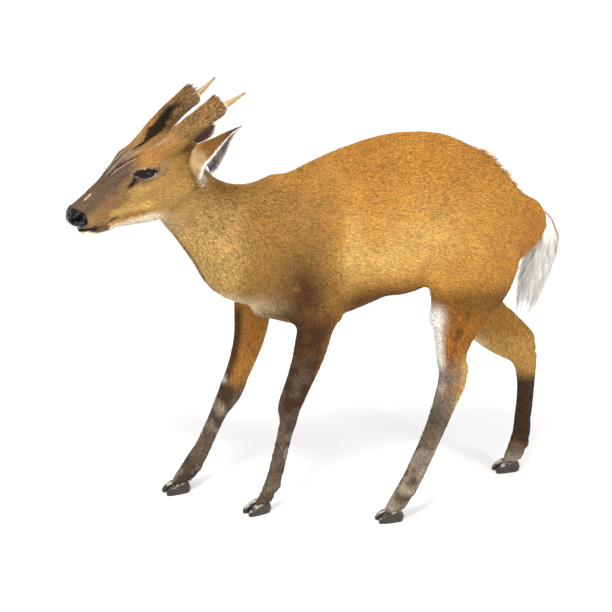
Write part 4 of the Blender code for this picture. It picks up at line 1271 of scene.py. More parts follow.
@dataclass
class Skin:
    """One skin over the head, neck, trunk and legs, with the face's folds, in place of all flesh.

    Attributes:
        voxel: How fine the fused body is, in metres.
        kept: The share of its faces that stays, most of them where it bends.
        depth: How far the skin lies inside the solids, for the coat's depth, in millimetres.
    """

    voxel: float = 0.0031
    kept: float = 0.71
    depth: float = 1.9
    piece: bpy.types.Object = field(init=False)
    tree: BVHTree = field(init=False)

    def build(self) -> None:
        """Builds the skin's mesh, colours and unwrap."""
        self.piece = self._fused()
        self._refine()
        self._shape()
        modifier(self.piece, "DECIMATE", decimate_type="COLLAPSE", ratio=self.kept)
        applied(self.piece)
        unwrap(self.piece)
        set_tint(self.piece.data, Markings().paint(Places.of(self.piece.data)))
        self.tree = BVHTree.FromObject(self.piece, bpy.context.evaluated_depsgraph_get())

    def _fused(self) -> bpy.types.Object:
        """Copies of the flesh's solids, fused into one closed body and smoothed."""
        skin = as_it_is("skin", copied(*FLESH))
        modifier(skin, "REMESH", mode="VOXEL", voxel_size=self.voxel, adaptivity=0.0)
        applied(skin)
        self._heel(skin.data)
        places = Places.of(skin.data)
        group = skin.vertex_groups.new(name="soft")
        soft = np.clip(1.0 - 0.75 * places.on_head - 0.2 * places.on_leg, 0.1, 1.0)
        soft = soft * fade(6.0, 26.0, places.straight[:, 2])
        for index, weight in enumerate(soft):
            group.add([index], float(weight), "REPLACE")
        modifier(skin, "SMOOTH", factor=0.5, iterations=12, vertex_group="soft")
        applied(skin)
        skin.vertex_groups.clear()
        return skin

    @staticmethod
    def _heel(mesh: bpy.types.Mesh) -> None:
        """Draws the far hind leg's rear edge straight down to the hock, as its tendon runs."""
        places = Places.of(mesh)
        x, y, z = places.straight.T
        past = (x - HEEL[0]) * HEEL_OUT[0] + (z - HEEL[1]) * HEEL_OUT[1]
        along = (x - HEEL[0]) * HEEL_OUT[1] - (z - HEEL[1]) * HEEL_OUT[0]
        past = past + np.maximum(along - 58.0, 0.0) ** 2 / 44.0
        facing = places.normals[:, 0] * HEEL_OUT[0] + places.normals[:, 2] * HEEL_OUT[1]
        here = (y > 30.0) & (x > 300.0) & (z > 150.0) & (z < 280.0) & (past > -16.0)
        fill = fade(0.0, 16.0, along) * fade(88.0, 72.0, along) * fade(0.15, 0.5, facing)
        shift = np.where(past > 0, -past * fade(96.0, 78.0, along), -past * fill) * here * MM
        points = places.points
        points[:, 0] += shift * HEEL_OUT[0]
        points[:, 2] += shift * HEEL_OUT[1]
        set_coords(mesh, points)

    def _refine(self) -> None:
        """Cuts the head's faces finer, and again round the nose, mouth, eyes and folds."""
        for step in range(2):
            bm = bmesh.new()
            bm.from_mesh(self.piece.data)
            bm.verts.ensure_lookup_table()
            points = np.array([v.co for v in bm.verts])
            places = Places(points, np.zeros_like(points))
            u, y, v = places.head.T
            if step == 0:
                chosen = places.on_head > 0.5
            else:
                eye = np.hypot(u - EYE.at[0] + 6.0, v - EYE.at[2]) < 26.0
                fold = (u > 62.0) & (u < 142.0) & (v > 24.0)
                chosen = (places.on_head > 0.5) & ((u < 54.0) | (eye & (np.abs(y) > 16.0)) | fold)
            edges = [e for e in bm.edges if chosen[e.verts[0].index] and chosen[e.verts[1].index]]
            bmesh.ops.subdivide_edges(bm, edges=edges, cuts=1, use_grid_fill=True, smooth=0.35)
            bmesh.ops.triangulate(bm, faces=[f for f in bm.faces if len(f.verts) > 4])
            bm.to_mesh(self.piece.data)
            bm.free()

    def _shape(self) -> None:
        """Draws the skin in by the coat's depth and presses the face's folds into it."""
        mesh = self.piece.data
        smooth_faces(mesh)
        places = Places.of(mesh)
        u, y, v = places.head.T
        head = places.on_head
        low = fade(14.0, 34.0, places.straight[:, 2])
        inset = self.depth * (1.0 - 0.5 * head) * (1.0 - 0.45 * places.on_leg) * low
        inset = inset * (1.0 - 0.9 * fade(1.2, 0.9, places.near_pad))
        side = fade(16.0, 24.0, np.abs(y))

        def groove(path: Path, wide: float, where: Array) -> Array:
            """How deep a groove along a line on the head's side is at each point, from 0 to 1."""
            return bell(places.beside(path), wide) * where * head

        def furrow(path: Path, wide: float) -> Array:
            """How deep a furrow along a line in space is at each point, from 0 to 1."""
            return bell(places.beside_fold(path), wide) * head

        inset = inset + 2.4 * furrow(FOLD, 1.3) - 1.0 * furrow(FOLD_RIM, 1.6) - 1.0 * furrow(CREST, 1.8)
        inset = inset - 1.1 * furrow(RIDGE, 2.0) * fade(92.0, 104.0, u) * fade(176.0, 150.0, u)
        inset = inset + 1.5 * furrow(STRIPE, 1.5) * fade(98.0, 108.0, u) * fade(150.0, 136.0, u)
        inset = inset + 2.8 * groove(GLAND, 1.7, side) - 0.9 * groove(GLAND, 3.8, side)
        lips = fade(54.0, 40.0, u)
        inset = inset + 2.0 * groove(MOUTH, 0.9, lips) - 0.5 * groove(MOUTH, 3.4, lips)
        inset = inset - 1.8 * fade(-31.5, -36.0, v) * fade(0.0, 10.0, u) * fade(58.0, 42.0, u) * head
        inset = inset + self._nostril(u, y, v) * head
        inset = inset + 0.8 * bell(y, 0.9) * fade(1.05, 0.9, places.near_pad) * fade(10.0, 2.0, u) * head
        set_coords(mesh, places.points - places.normals * (inset * MM)[:, None])
        self._open_eyes(head)

    @staticmethod
    def _nostril(u: Array, y: Array, v: Array) -> Array:
        """How deep each nostril is pressed in, in millimetres, with its raised rim."""
        along = (u - 7.8) * 0.85 + (v + 5.0) * 0.53
        above = -(u - 7.8) * 0.53 + (v + 5.0) * 0.85
        ring = np.hypot(along / 6.4, (above + 0.03 * along**2) / 4.3)
        return (5.6 * fade(1.05, 0.4, ring) - 1.2 * bell(ring - 1.35, 0.3)) * fade(5.0, 8.0, np.abs(y))

    def _open_eyes(self, head: Array) -> None:
        """Presses the skin back behind each eyeball."""
        mesh = self.piece.data
        places = Places.of(mesh)
        u, y, v = places.head.T
        ring = EYE.outline(u, v)
        back = fade(0.97, 0.72, ring) * fade(18.0, 26.0, np.abs(y)) * (head > 0.4)
        sunk = np.sign(y) * np.minimum(np.abs(y), EYE.at[1] + 1.0)
        moved = np.stack([u, y + (sunk - y) * back, v], axis=1)
        points = places.points
        changed = back > 0.001
        points[changed] = ANATOMY.unhead(moved[changed])
        set_coords(mesh, points)

    def height(self, u: float, v: float, side: float) -> float:
        """How far the skin lies from the head's middle plane, seen from the side, in millimetres."""
        outside = ANATOMY.head_point(u, side * 90.0, v)
        inward = ANATOMY.head_point(u, side * 10.0, v) - outside
        hit = self.tree.ray_cast(outside, inward.normalized())
        if hit[0] is None:
            return EYE.at[1] + 8.0
        return 90.0 - (hit[0] - outside).length / MM

    def surface(self) -> Surface:
        """What the coat needs of the skin."""
        return Surface.of(self.piece, lambda points, normals: Lie().comb(Places(points, normals)))


@dataclass
class CoatRules:
    """How long, wide and raised the tufts are, and how thickly they grow, by place."""

    places: Places

    def _blend(self, face: float, stalk: float, neck: float, trunk: float, leg: float, foot: float) -> Array:
        """One value for each part of the animal, run smoothly into each other."""
        u, _, v = self.places.head.T
        height = self.places.straight[:, 2]
        value = trunk + (neck - trunk) * self.places.on_neck
        value = value + (leg - value) * self.places.on_leg
        value = value + (foot - value) * fade(60.0, 25.0, height)
        on_face = face * (0.62 + 0.38 * fade(20.0, 95.0, u))
        on_face = on_face + (stalk - on_face) * fade(160.0, 190.0, u) * fade(34.0, 48.0, v)
        head = self.places.on_head * fade(175.0, 150.0, u - 0.6 * np.maximum(v, 0.0))
        return value + (on_face - value) * np.maximum(head, self.places.on_head * fade(34.0, 48.0, v))

    def length(self) -> Array:
        """The tufts' length, in metres."""
        return self._blend(5.2, 8.5, 6.6, 7.8, 6.8, 6.0) * MM

    def width(self) -> Array:
        """Their width, in metres."""
        return self._blend(0.8, 0.95, 1.15, 1.2, 1.1, 1.0) * MM

    def stand(self) -> Array:
        """How far their tips stand off the skin, in metres."""
        plain = self._blend(0.45, 1.9, 1.0, 0.85, 0.75, 0.7)
        x, y, z = self.places.straight.T
        rump = fade(26.0, 12.0, np.abs(y)) * fade(215.0, 240.0, x) * fade(312.0, 290.0, x) * fade(440.0, 470.0, z)
        end = fade(222.0, 238.0, self.places.head[:, 0]) * self.places.on_head
        clump = fade(0.56, 0.72, self.places.cloud(Noise.CLUMPS))
        return plain * (1.0 + (0.6 + 6.5 * clump) * rump + 0.8 * end) * MM

    def speckle(self) -> Array:
        """How strongly single tufts are darker or paler than the markings."""
        return self._blend(0.24, 0.52, 0.36, 0.22, 0.26, 0.3)

    def density(self) -> Array:
        """How thickly they grow, as a share."""
        thick = self._blend(2.3, 1.9, 1.3, 1.0, 1.3, 1.6)
        side = np.abs(self.places.head[:, 1])
        eye = (self.places.near_eye < 1.05) & (side > 18.0)
        slit = (self.places.beside(GLAND) < 2.1) & (side > 20.0)
        lines = (self.places.beside(MOUTH) < 1.1) | slit | (self.places.beside_fold(FOLD) < 1.5)
        bare = (self.places.on_head > 0.5) & (eye | lines | (self.places.near_pad < 1.0))
        return np.where(bare | (self.places.straight[:, 2] < 12.0), 0.0, thick)


@dataclass
class Coat:
    """Every tuft of short hair over the skin, in a few meshes.

    Attributes:
        pieces: How many meshes.
        count: How many tufts each has.
        quick_share: Not used.
        seed: The draw.
    """

    pieces: int = 7
    count: int = 23000
    quick_share: int = 4
    seed: int = 20

    def build(self, skin: Skin, finish: bpy.types.Material) -> None:
        """Grows the coat.

        Args:
            skin: What it grows on.
            finish: Its material.
        """
        surface = skin.surface()
        middles = surface.points[surface.triangles].mean(axis=1)
        outwards = unit(surface.normals[surface.triangles].mean(axis=1))
        thick = CoatRules(Places(middles, outwards)).density()
        count = thinned(self.count, self.quick_share)
        total = count * self.pieces
        rng = np.random.default_rng(self.seed)
        rooted = Rooted.draw(surface, thick, total, rng)
        places = Places(rooted.points, rooted.normals)
        rules = CoatRules(places)
        length = rules.length() * rng.uniform(0.7, 1.25, total)
        width = rules.width() * rng.uniform(0.7, 1.3, total) * 1.0
        loose = np.where(rng.random(total) < 0.05, 1.9, 1.0)
        stand = rules.stand() * rng.uniform(0.5, 1.2, total) * loose
        draw = rng.random(total)
        shade = 1.0 + rules.speckle() * np.where(draw < 0.25, -1.3, np.where(draw > 0.72, 0.8, 0.0))
        shade = shade * (0.94 + 0.12 * Noise.TUFTS.over(rooted.points))
        colours = Markings().paint(places) * np.clip(shade, 0.2, 2.0)[:, None]
        order = np.argsort(rooted.points[:, 0] + 0.3 * rooted.points[:, 2], kind="stable")
        for index in range(self.pieces):
            part = order[index * count : (index + 1) * count]
            made = tuft_mesh(
                f"coat_{index + 1}", rooted.some(part), length[part], width[part], stand[part], colours[part], rng)
            dress(made, finish, "torso")


@dataclass
class Eyes:
    """The eyeballs, the dark lids round them and the wet rim inside the lids."""

    steps: int = 64

    def build(self, skin: Skin, ball: bpy.types.Material, lid: bpy.types.Material) -> None:
        """Builds both eyes."""
        for name, side in SIDES.items():
            dress(self._ball(name, side), ball, "eyes", f"eye_{name}")
            dress(self._lids(name, side, skin), lid, "head")

    @staticmethod
    def _ball(name: str, side: float) -> bpy.types.Object:
        """An eyeball that fills its long opening, with its iris and level pupil as colours."""
        bm = bmesh.new()
        bmesh.ops.create_uvsphere(bm, u_segments=72, v_segments=48, radius=1.0)
        colours = []
        gaze = Vector((-0.16, 1.0, 0.02)).normalized()
        long, deep, high = EYE.size
        for vert in bm.verts:
            way = vert.co.copy()
            facing = way.dot(gaze)
            swell = 1.0 + 0.05 * max(0.0, (facing - 0.7) / 0.3) ** 1.4
            u, y, v = way.x * long, way.y * deep * swell, way.z * high
            vert.co = ANATOMY.head_point(EYE.at[0] + u, side * (EYE.at[1] + y), EYE.at[2] + v - u * EYE.slant)
            iris = np.clip((facing - 0.7) / 0.05, 0.0, 1.0)
            level = math.hypot((way.x - gaze.x) / 0.42, way.z / 0.24)
            pupil = np.clip((1.15 - level) / 0.3, 0.0, 1.0)
            colour = np.array([0.02, 0.012, 0.009]) * (1 - iris) + np.array([0.012, 0.006, 0.004]) * iris
            colours.append(colour * (1 - pupil) + 0.0015 * pupil)
        obj = from_bmesh(f"eyeball_{name}", bm)
        set_tint(obj.data, np.array(colours))
        return obj

    def _lids(self, name: str, side: float, skin: Skin) -> bpy.types.Object:
        """The lids as one rounded band, from behind the wet edge on the eyeball out into the skin."""
        profile = ((0.74, -1.2, 1.0), (0.80, 0.3, 1.0), (0.85, 1.05, 0.95), (0.93, 1.45, 0.7),
                   (1.02, 1.2, 0.4), (1.12, 0.7, 0.15), (1.23, 0.15, 0.0), (1.34, -0.9, 0.0), (1.05, -3.0, 0.0))

        def place(angle: float, share: float) -> Vector:
            """A place on the band."""
            grow, raised, on_ball = profile[round(share * (len(profile) - 1))]
            raised *= 1.3 if math.sin(angle) > 0 and raised > 0 else 1.0
            u, v = EYE.rim(angle, grow)
            edge_u, edge_v = EYE.rim(angle, 1.2)
            rim = skin.height(edge_u, edge_v, side)
            base = EYE.bulge(u, v) * on_ball + rim * (1.0 - on_ball)
            return ANATOMY.head_point(u, side * (base + raised), v)

        bm = tube(place, self.steps, len(profile), caps=False)
        bmesh.ops.bridge_loops(bm, edges=[e for e in bm.edges if e.is_boundary])
        obj = from_bmesh(f"lids_{name}", bm)
        places = Places.of(obj.data)
        ring = places.near_eye
        lower = fade(0.8, -1.2, EYE.above(places.head[:, 0], places.head[:, 2]))
        dark = np.maximum(fade(1.2, 1.06, ring) * (1.0 - lower), fade(0.86, 0.8, ring))
        colours = over(Markings().paint(places), linear((104, 82, 76)), 0.8 * lower * fade(1.3, 1.0, ring))
        colours = over(colours, Tone.BLACK.light, dark)
        wet = 0.75 * lower * fade(0.8, 0.86, ring) * fade(1.04, 0.96, ring)
        set_tint(obj.data, over(colours, linear((176, 164, 158)), wet))
        modifier(obj, "SUBSURF", levels=2, render_levels=2)
        return applied(obj)


@dataclass
class NosePad:
    """The moist pad of bare skin over the muzzle's tip, with its nostrils."""

    thick: float = 0.00045

    def build(self, skin: Skin, finish: bpy.types.Material) -> None:
        """Builds the pad from the skin's own faces."""
        mesh = skin.piece.data
        places = Places.of(mesh)
        inside = (places.near_pad < 1.04) & (places.on_head > 0.5)
        bm = bmesh.new()
        bm.from_mesh(mesh)
        bm.verts.ensure_lookup_table()
        drop = [v for v in bm.verts if not inside[v.index]]
        bmesh.ops.delete(bm, geom=drop, context="VERTS")
        for layer in list(bm.loops.layers.uv):
            bm.loops.layers.uv.remove(layer)
        for vert in bm.verts:
            vert.co += vert.normal * self.thick
        obj = from_bmesh("nose_pad", bm)
        modifier(obj, "SOLIDIFY", thickness=0.0012, offset=-1.0)
        applied(obj)
        dress(obj, finish, "nose", "nose")


@dataclass
class Antlers:
    """Two short spikes of horn, each on a knobbed burr.

    Attributes:
        length: The spike's length, in millimetres.
        radius: Its radius above the burr.
        burr: The burr's radius.
    """

    length: float = 37.0
    radius: float = 4.5
    burr: float = 7.0
    tips: dict[str, tuple[float, float, float]] = field(
        default_factory=lambda: {"left": (248.0, -34.0, 55.0), "right": (238.0, 40.0, 53.0)})
    slopes: dict[str, float] = field(default_factory=lambda: {"left": 0.12, "right": 0.3})

    def build(self, finish: bpy.types.Material) -> None:
        """Builds both."""
        for name, side in SIDES.items():
            start = Vector(self.tips[name])
            way = Vector((0.97, side * 0.03, self.slopes[name])).normalized()
            across = Vector((0, 1, 0))
            up = way.cross(across)

            def place(angle: float, share: float) -> Vector:
                """A place on the spike."""
                t = share * 1.06 - 0.06
                at = t * self.length
                knob = math.exp(-(((at - 2.6) / 2.1) ** 2))
                body = self.radius * (1.0 - 0.78 * max(t, 0.0) ** 1.25) if at > 0 else self.radius + 1.0
                ridges = 1.0 + 0.07 * math.sin(angle * 7 + 2.0 * t) * (1.0 - t)
                beads = 1.0 + 0.16 * math.sin(angle * 9) * knob
                r = (body + (self.burr - body) * knob) * ridges * beads
                sway = Vector((0, side * 1.6 * t * t, -2.2 * math.sin(math.pi * t) * 0.4))
                p = start + way * at + (across * math.cos(angle) + up * math.sin(angle)) * r + sway
                return ANATOMY.head_point(*p)

            obj = from_bmesh(f"spike_{name}", tube(place, 48, 46))
            points = coords(obj.data)
            along = (ANATOMY.head(ANATOMY.straight(points)) - np.array(start)) @ np.array(way) / self.length
            colour = over(linear((160, 129, 80)), linear((210, 194, 156)), fade(0.2, 0.08, along))
            colour = over(colour, Tone.SOOT.light, fade(0.05, 0.0, along))
            set_tint(obj.data, over(colour, linear((112, 78, 48)), fade(0.72, 1.0, along)))
            dress(obj, finish, "antlers", f"antler_{name}")


@dataclass
class Hooves:
    """The eight claws, smoothed from their solids, with a worn edge."""

    voxel: float = 0.001

    def build(self, finish: bpy.types.Material) -> None:
        """Builds each claw."""
        for limb in ("fore", "hind"):
            for side in SIDES:
                for which in ("inner", "outer"):
                    self._claw(f"claw_{limb}_{side}_{which}", finish)

    def _claw(self, node: str, finish: bpy.types.Material) -> None:
        """One claw."""
        bm = copied(node)
        high = max(v.co.z for v in bm.verts)
        top = [f for f in bm.faces if f.normal.z > 0.9 and f.calc_center_median().z > high - 0.006]
        out = bmesh.ops.extrude_face_region(bm, geom=top)["geom"]
        verts = [g for g in out if isinstance(g, bmesh.types.BMVert)]
        bmesh.ops.translate(bm, vec=(0.0005, 0, 0.0008), verts=verts)
        bmesh.ops.delete(bm, geom=top, context="FACES")
        obj = from_bmesh(node.replace("claw", "hoof"), bm)
        modifier(obj, "REMESH", mode="VOXEL", voxel_size=self.voxel, adaptivity=0.0)
        modifier(obj, "SMOOTH", factor=0.5, iterations=5)
        applied(obj)
        points = coords(obj.data)
        points[:, 2] = np.maximum(points[:, 2], 0.0)
        points[points[:, 2] < 0.0009, 2] = 0.0
        set_coords(obj.data, points)
        smooth_faces(obj.data)
        upward = coords(obj.data, "normal")[:, 2]
        share = fade(0.3, 0.85, upward) * fade(0.4, 0.6, Noise.HOOF_WEAR.over(points)) * 0.9
        set_tint(obj.data, over(linear((44, 37, 32)), linear((186, 178, 164)), share))
        dress(obj, finish, "hooves", node)


@dataclass(frozen=True)
class EarLie:
    """Where one ear stands in the straight body, in millimetres.

    Attributes:
        base: The middle of its root.
        along: The way to its tip.
        towards: The way that its cup opens.
        length: Its length.
        widths: Half its width at shares of its length.
        hump: How far its back swells near the root.
    """

    base: tuple[float, float, float]
    along: tuple[float, float, float]
    towards: tuple[float, float, float]
    length: float
    widths: tuple[tuple[float, float], ...]
    hump: float


EAR_LIES = {
    "left": EarLie(
        (-188.0, -34.0, 527.5), (0.381, -0.634, 0.673), (0.41, -0.69, -0.60), 97.8,
        ((0, 19), (0.1, 23.5), (0.2, 24), (0.32, 22), (0.45, 18.5), (0.6, 13.5), (0.74, 8.6), (0.84, 5.4),
         (0.93, 3.0), (1, 0.3)), 5.0),
    "right": EarLie(
        (-203.0, 38.0, 524.0), (0.931, 0.269, 0.248), (-0.484, -0.679, 0.552), 89.0,
        ((0, 14), (0.2, 18), (0.4, 20), (0.6, 20), (0.74, 18.5), (0.86, 14), (0.94, 8.5), (1, 0.6)), 0.0),
}


@dataclass
class Ears:
    """The two ears: leaves rolled to a tube at the base, furred outside and thinly inside.

    Attributes:
        wall: The leaf's thickness, in millimetres.
        tufts: How many tufts each ear has.
        quick_share: Not used.
        seed: The first ear's draw.
    """

    wall: float = 1.3
    tufts: int = 8000
    quick_share: int = 4
    seed: int = 40

    def build(self, skin_finish: bpy.types.Material, hair: bpy.types.Material) -> None:
        """Builds both ears and their hair."""
        for index, (name, lie) in enumerate(EAR_LIES.items()):
            leaf, marks = self._leaf(name, lie)
            set_tint(leaf.data, self._colours(coords(leaf.data), marks))
            unwrap(leaf)
            dress(leaf, skin_finish, "ears", f"ear_{name}")
            self._hair(name, leaf, lie, marks, hair, self.seed + index)

    def _leaf(self, name: str, lie: EarLie) -> tuple[bpy.types.Object, Array]:
        """One ear's mesh, with each point's share of its length, place across it, and side of the cup."""
        base, along, towards = Vector(lie.base), Vector(lie.along).normalized(), Vector(lie.towards)
        towards = (towards - along * towards.dot(along)).normalized()
        wide = along.cross(towards)
        table = np.array(lie.widths, float)
        bm = bmesh.new()
        bmesh.ops.create_grid(bm, x_segments=34, y_segments=40, size=1.0)
        layers = [bm.verts.layers.float.new(key) for key in ("share", "across", "cup")]
        for vert in bm.verts:
            t, k = (vert.co.y + 1.0) / 2.0, vert.co.x
            half_arc = 2.3 - 0.95 * t**0.8
            radius = float(np.interp(t, table[:, 0], table[:, 1])) / math.sin(min(half_arc, math.pi / 2))
            ripple = 0.7 * math.sin(11.0 * t + 2.0 * k) * abs(k) ** 3 * (1.0 - t)
            depth = radius * math.cos(half_arc * k) - radius * 0.6 + ripple
            depth += 4.0 * math.sin(math.pi * t) + lie.hump * math.exp(-(((t - 0.2) / 0.16) ** 2))
            place = base + along * lie.length * t + wide * (radius * math.sin(half_arc * k)) - towards * depth
            vert.co = Vector(ANATOMY.bent(np.array([place]))[0])
            vert[layers[0]], vert[layers[1]] = t, k
        bmesh.ops.recalc_face_normals(bm, faces=bm.faces)
        out = ANATOMY.turned(np.array([lie.base]), -np.array([towards]))[0]
        spine = min(bm.faces, key=lambda f: abs(f.verts[0][layers[1]]) + abs(f.verts[0][layers[0]] - 0.5))
        if spine.normal.dot(Vector(out)) < 0:
            bmesh.ops.reverse_faces(bm, faces=bm.faces)
        for vert in bm.verts:
            vert[layers[2]] = 0.0
        bm.normal_update()
        made = bmesh.ops.duplicate(bm, geom=list(bm.faces))
        for vert in [g for g in made["geom"] if isinstance(g, bmesh.types.BMVert)]:
            vert[layers[2]] = 1.0
            vert.co -= vert.normal * self.wall * MM * (0.4 + 0.6 * (1.0 - abs(vert[layers[1]]) ** 4))
        bmesh.ops.reverse_faces(bm, faces=[g for g in made["geom"] if isinstance(g, bmesh.types.BMFace)])
        bmesh.ops.bridge_loops(bm, edges=[e for e in bm.edges if e.is_boundary])
        bmesh.ops.recalc_face_normals(bm, faces=bm.faces)
        marks = np.array([[vert[layer] for layer in layers] for vert in bm.verts])
        for face in bm.faces:
            face.smooth = True
        return as_it_is(f"leaf_{name}", bm), marks

    @staticmethod
    def _colours(points: Array, marks: Array) -> Array:
        """The ear's colours: tan with a cream base, grey tip and white rim outside, dull rose inside, darker with
        painted shade in the cup's hollow.
        """
        share, across, cup = marks.T
        mottle = (Noise.EAR_EDGES.over(points) - 0.5) * 0.16
        edge = np.abs(across)
        tan, orange, cream = linear((136, 94, 44)), linear((170, 110, 40)), linear((204, 180, 136))
        grey, pale, deep = Tone.EAR_TIP.light, linear((190, 182, 175)), linear((66, 46, 44))

        outer = over(tan, orange, 0.6 * fade(0.42, 0.25, share + mottle) * (edge < 0.6))
        blots = fade(0.35, 0.6, Noise.EAR_BLOTS.over(points))
        outer = over(outer, cream, (0.55 + 0.35 * blots) * fade(0.34, 0.16, share - 0.18 * (edge - 0.4) + mottle))
        outer = over(outer, grey, 0.85 * fade(0.6, 0.82, share + 0.3 * (edge - 0.5) + mottle))
        outer = over(outer, Tone.CHEEK.light, 0.6 * fade(0.1, 0.03, share))
        # Painted shade: the rose skin inside darker towards the middle of the cup, in its hollow.
        inner = over(Tone.EAR_ROSE.light, deep, 0.8 * fade(0.75, 0.35, edge))
        streaks = 0.45 + 0.55 * fade(0.4, 0.6, Noise.EAR_STREAKS.over(points))
        inner = over(inner, pale, 0.85 * fade(0.4, 0.75, edge) * streaks)
        made = over(outer, inner, cup)
        return over(made, Tone.WHITE.light, 0.85 * fade(0.9, 0.96, edge) * fade(0.99, 0.93, share))

    def _hair(
        self, name: str, leaf: bpy.types.Object, lie: EarLie, marks: Array, hair: bpy.types.Material, seed: int
    ) -> None:
        """Short tufts over the leaf, and a pale fringe along its edge."""
        way = unit(ANATOMY.turned(np.array([lie.base]), np.array([lie.along])))[0]

        def comb(points: Array, normals: Array) -> Array:
            """Along the ear, to its tip."""
            return flattened(np.tile(way, (len(points), 1)), normals)

        surface = Surface.of(leaf, comb)
        rng = np.random.default_rng(seed)
        count = thinned(self.tufts, self.quick_share)
        within = marks[surface.triangles].mean(axis=1)
        thick = np.where(within[:, 2] > 0.5, 0.4, 1.2) + 1.5 * (np.abs(within[:, 1]) > 0.93)
        rooted = Rooted.draw(surface, thick, count, rng)
        tree = BVHTree.FromObject(leaf, bpy.context.evaluated_depsgraph_get())
        polygons = leaf.data.polygons
        own = np.array([
            marks[list(polygons[tree.find_nearest(Vector(point))[2]].vertices)].mean(axis=0)
            for point in rooted.points])
        colours = self._colours(rooted.points, own) * rng.uniform(0.78, 1.22, count)[:, None]
        length = rng.uniform(3.0, 5.6, count) * MM * np.where(own[:, 0] > 0.85, 0.5, 1.0)
        made = tuft_mesh(
            f"ear_hair_{name}", rooted, length, rng.uniform(0.5, 0.85, count) * MM,
            rng.uniform(0.2, 0.6, count) * MM, colours, rng)
        dress(made, hair, "ears")


CLUMPS_ROUND = 32  # Room for the clumps of one row of the tail's locks.
CLUMPS = 512


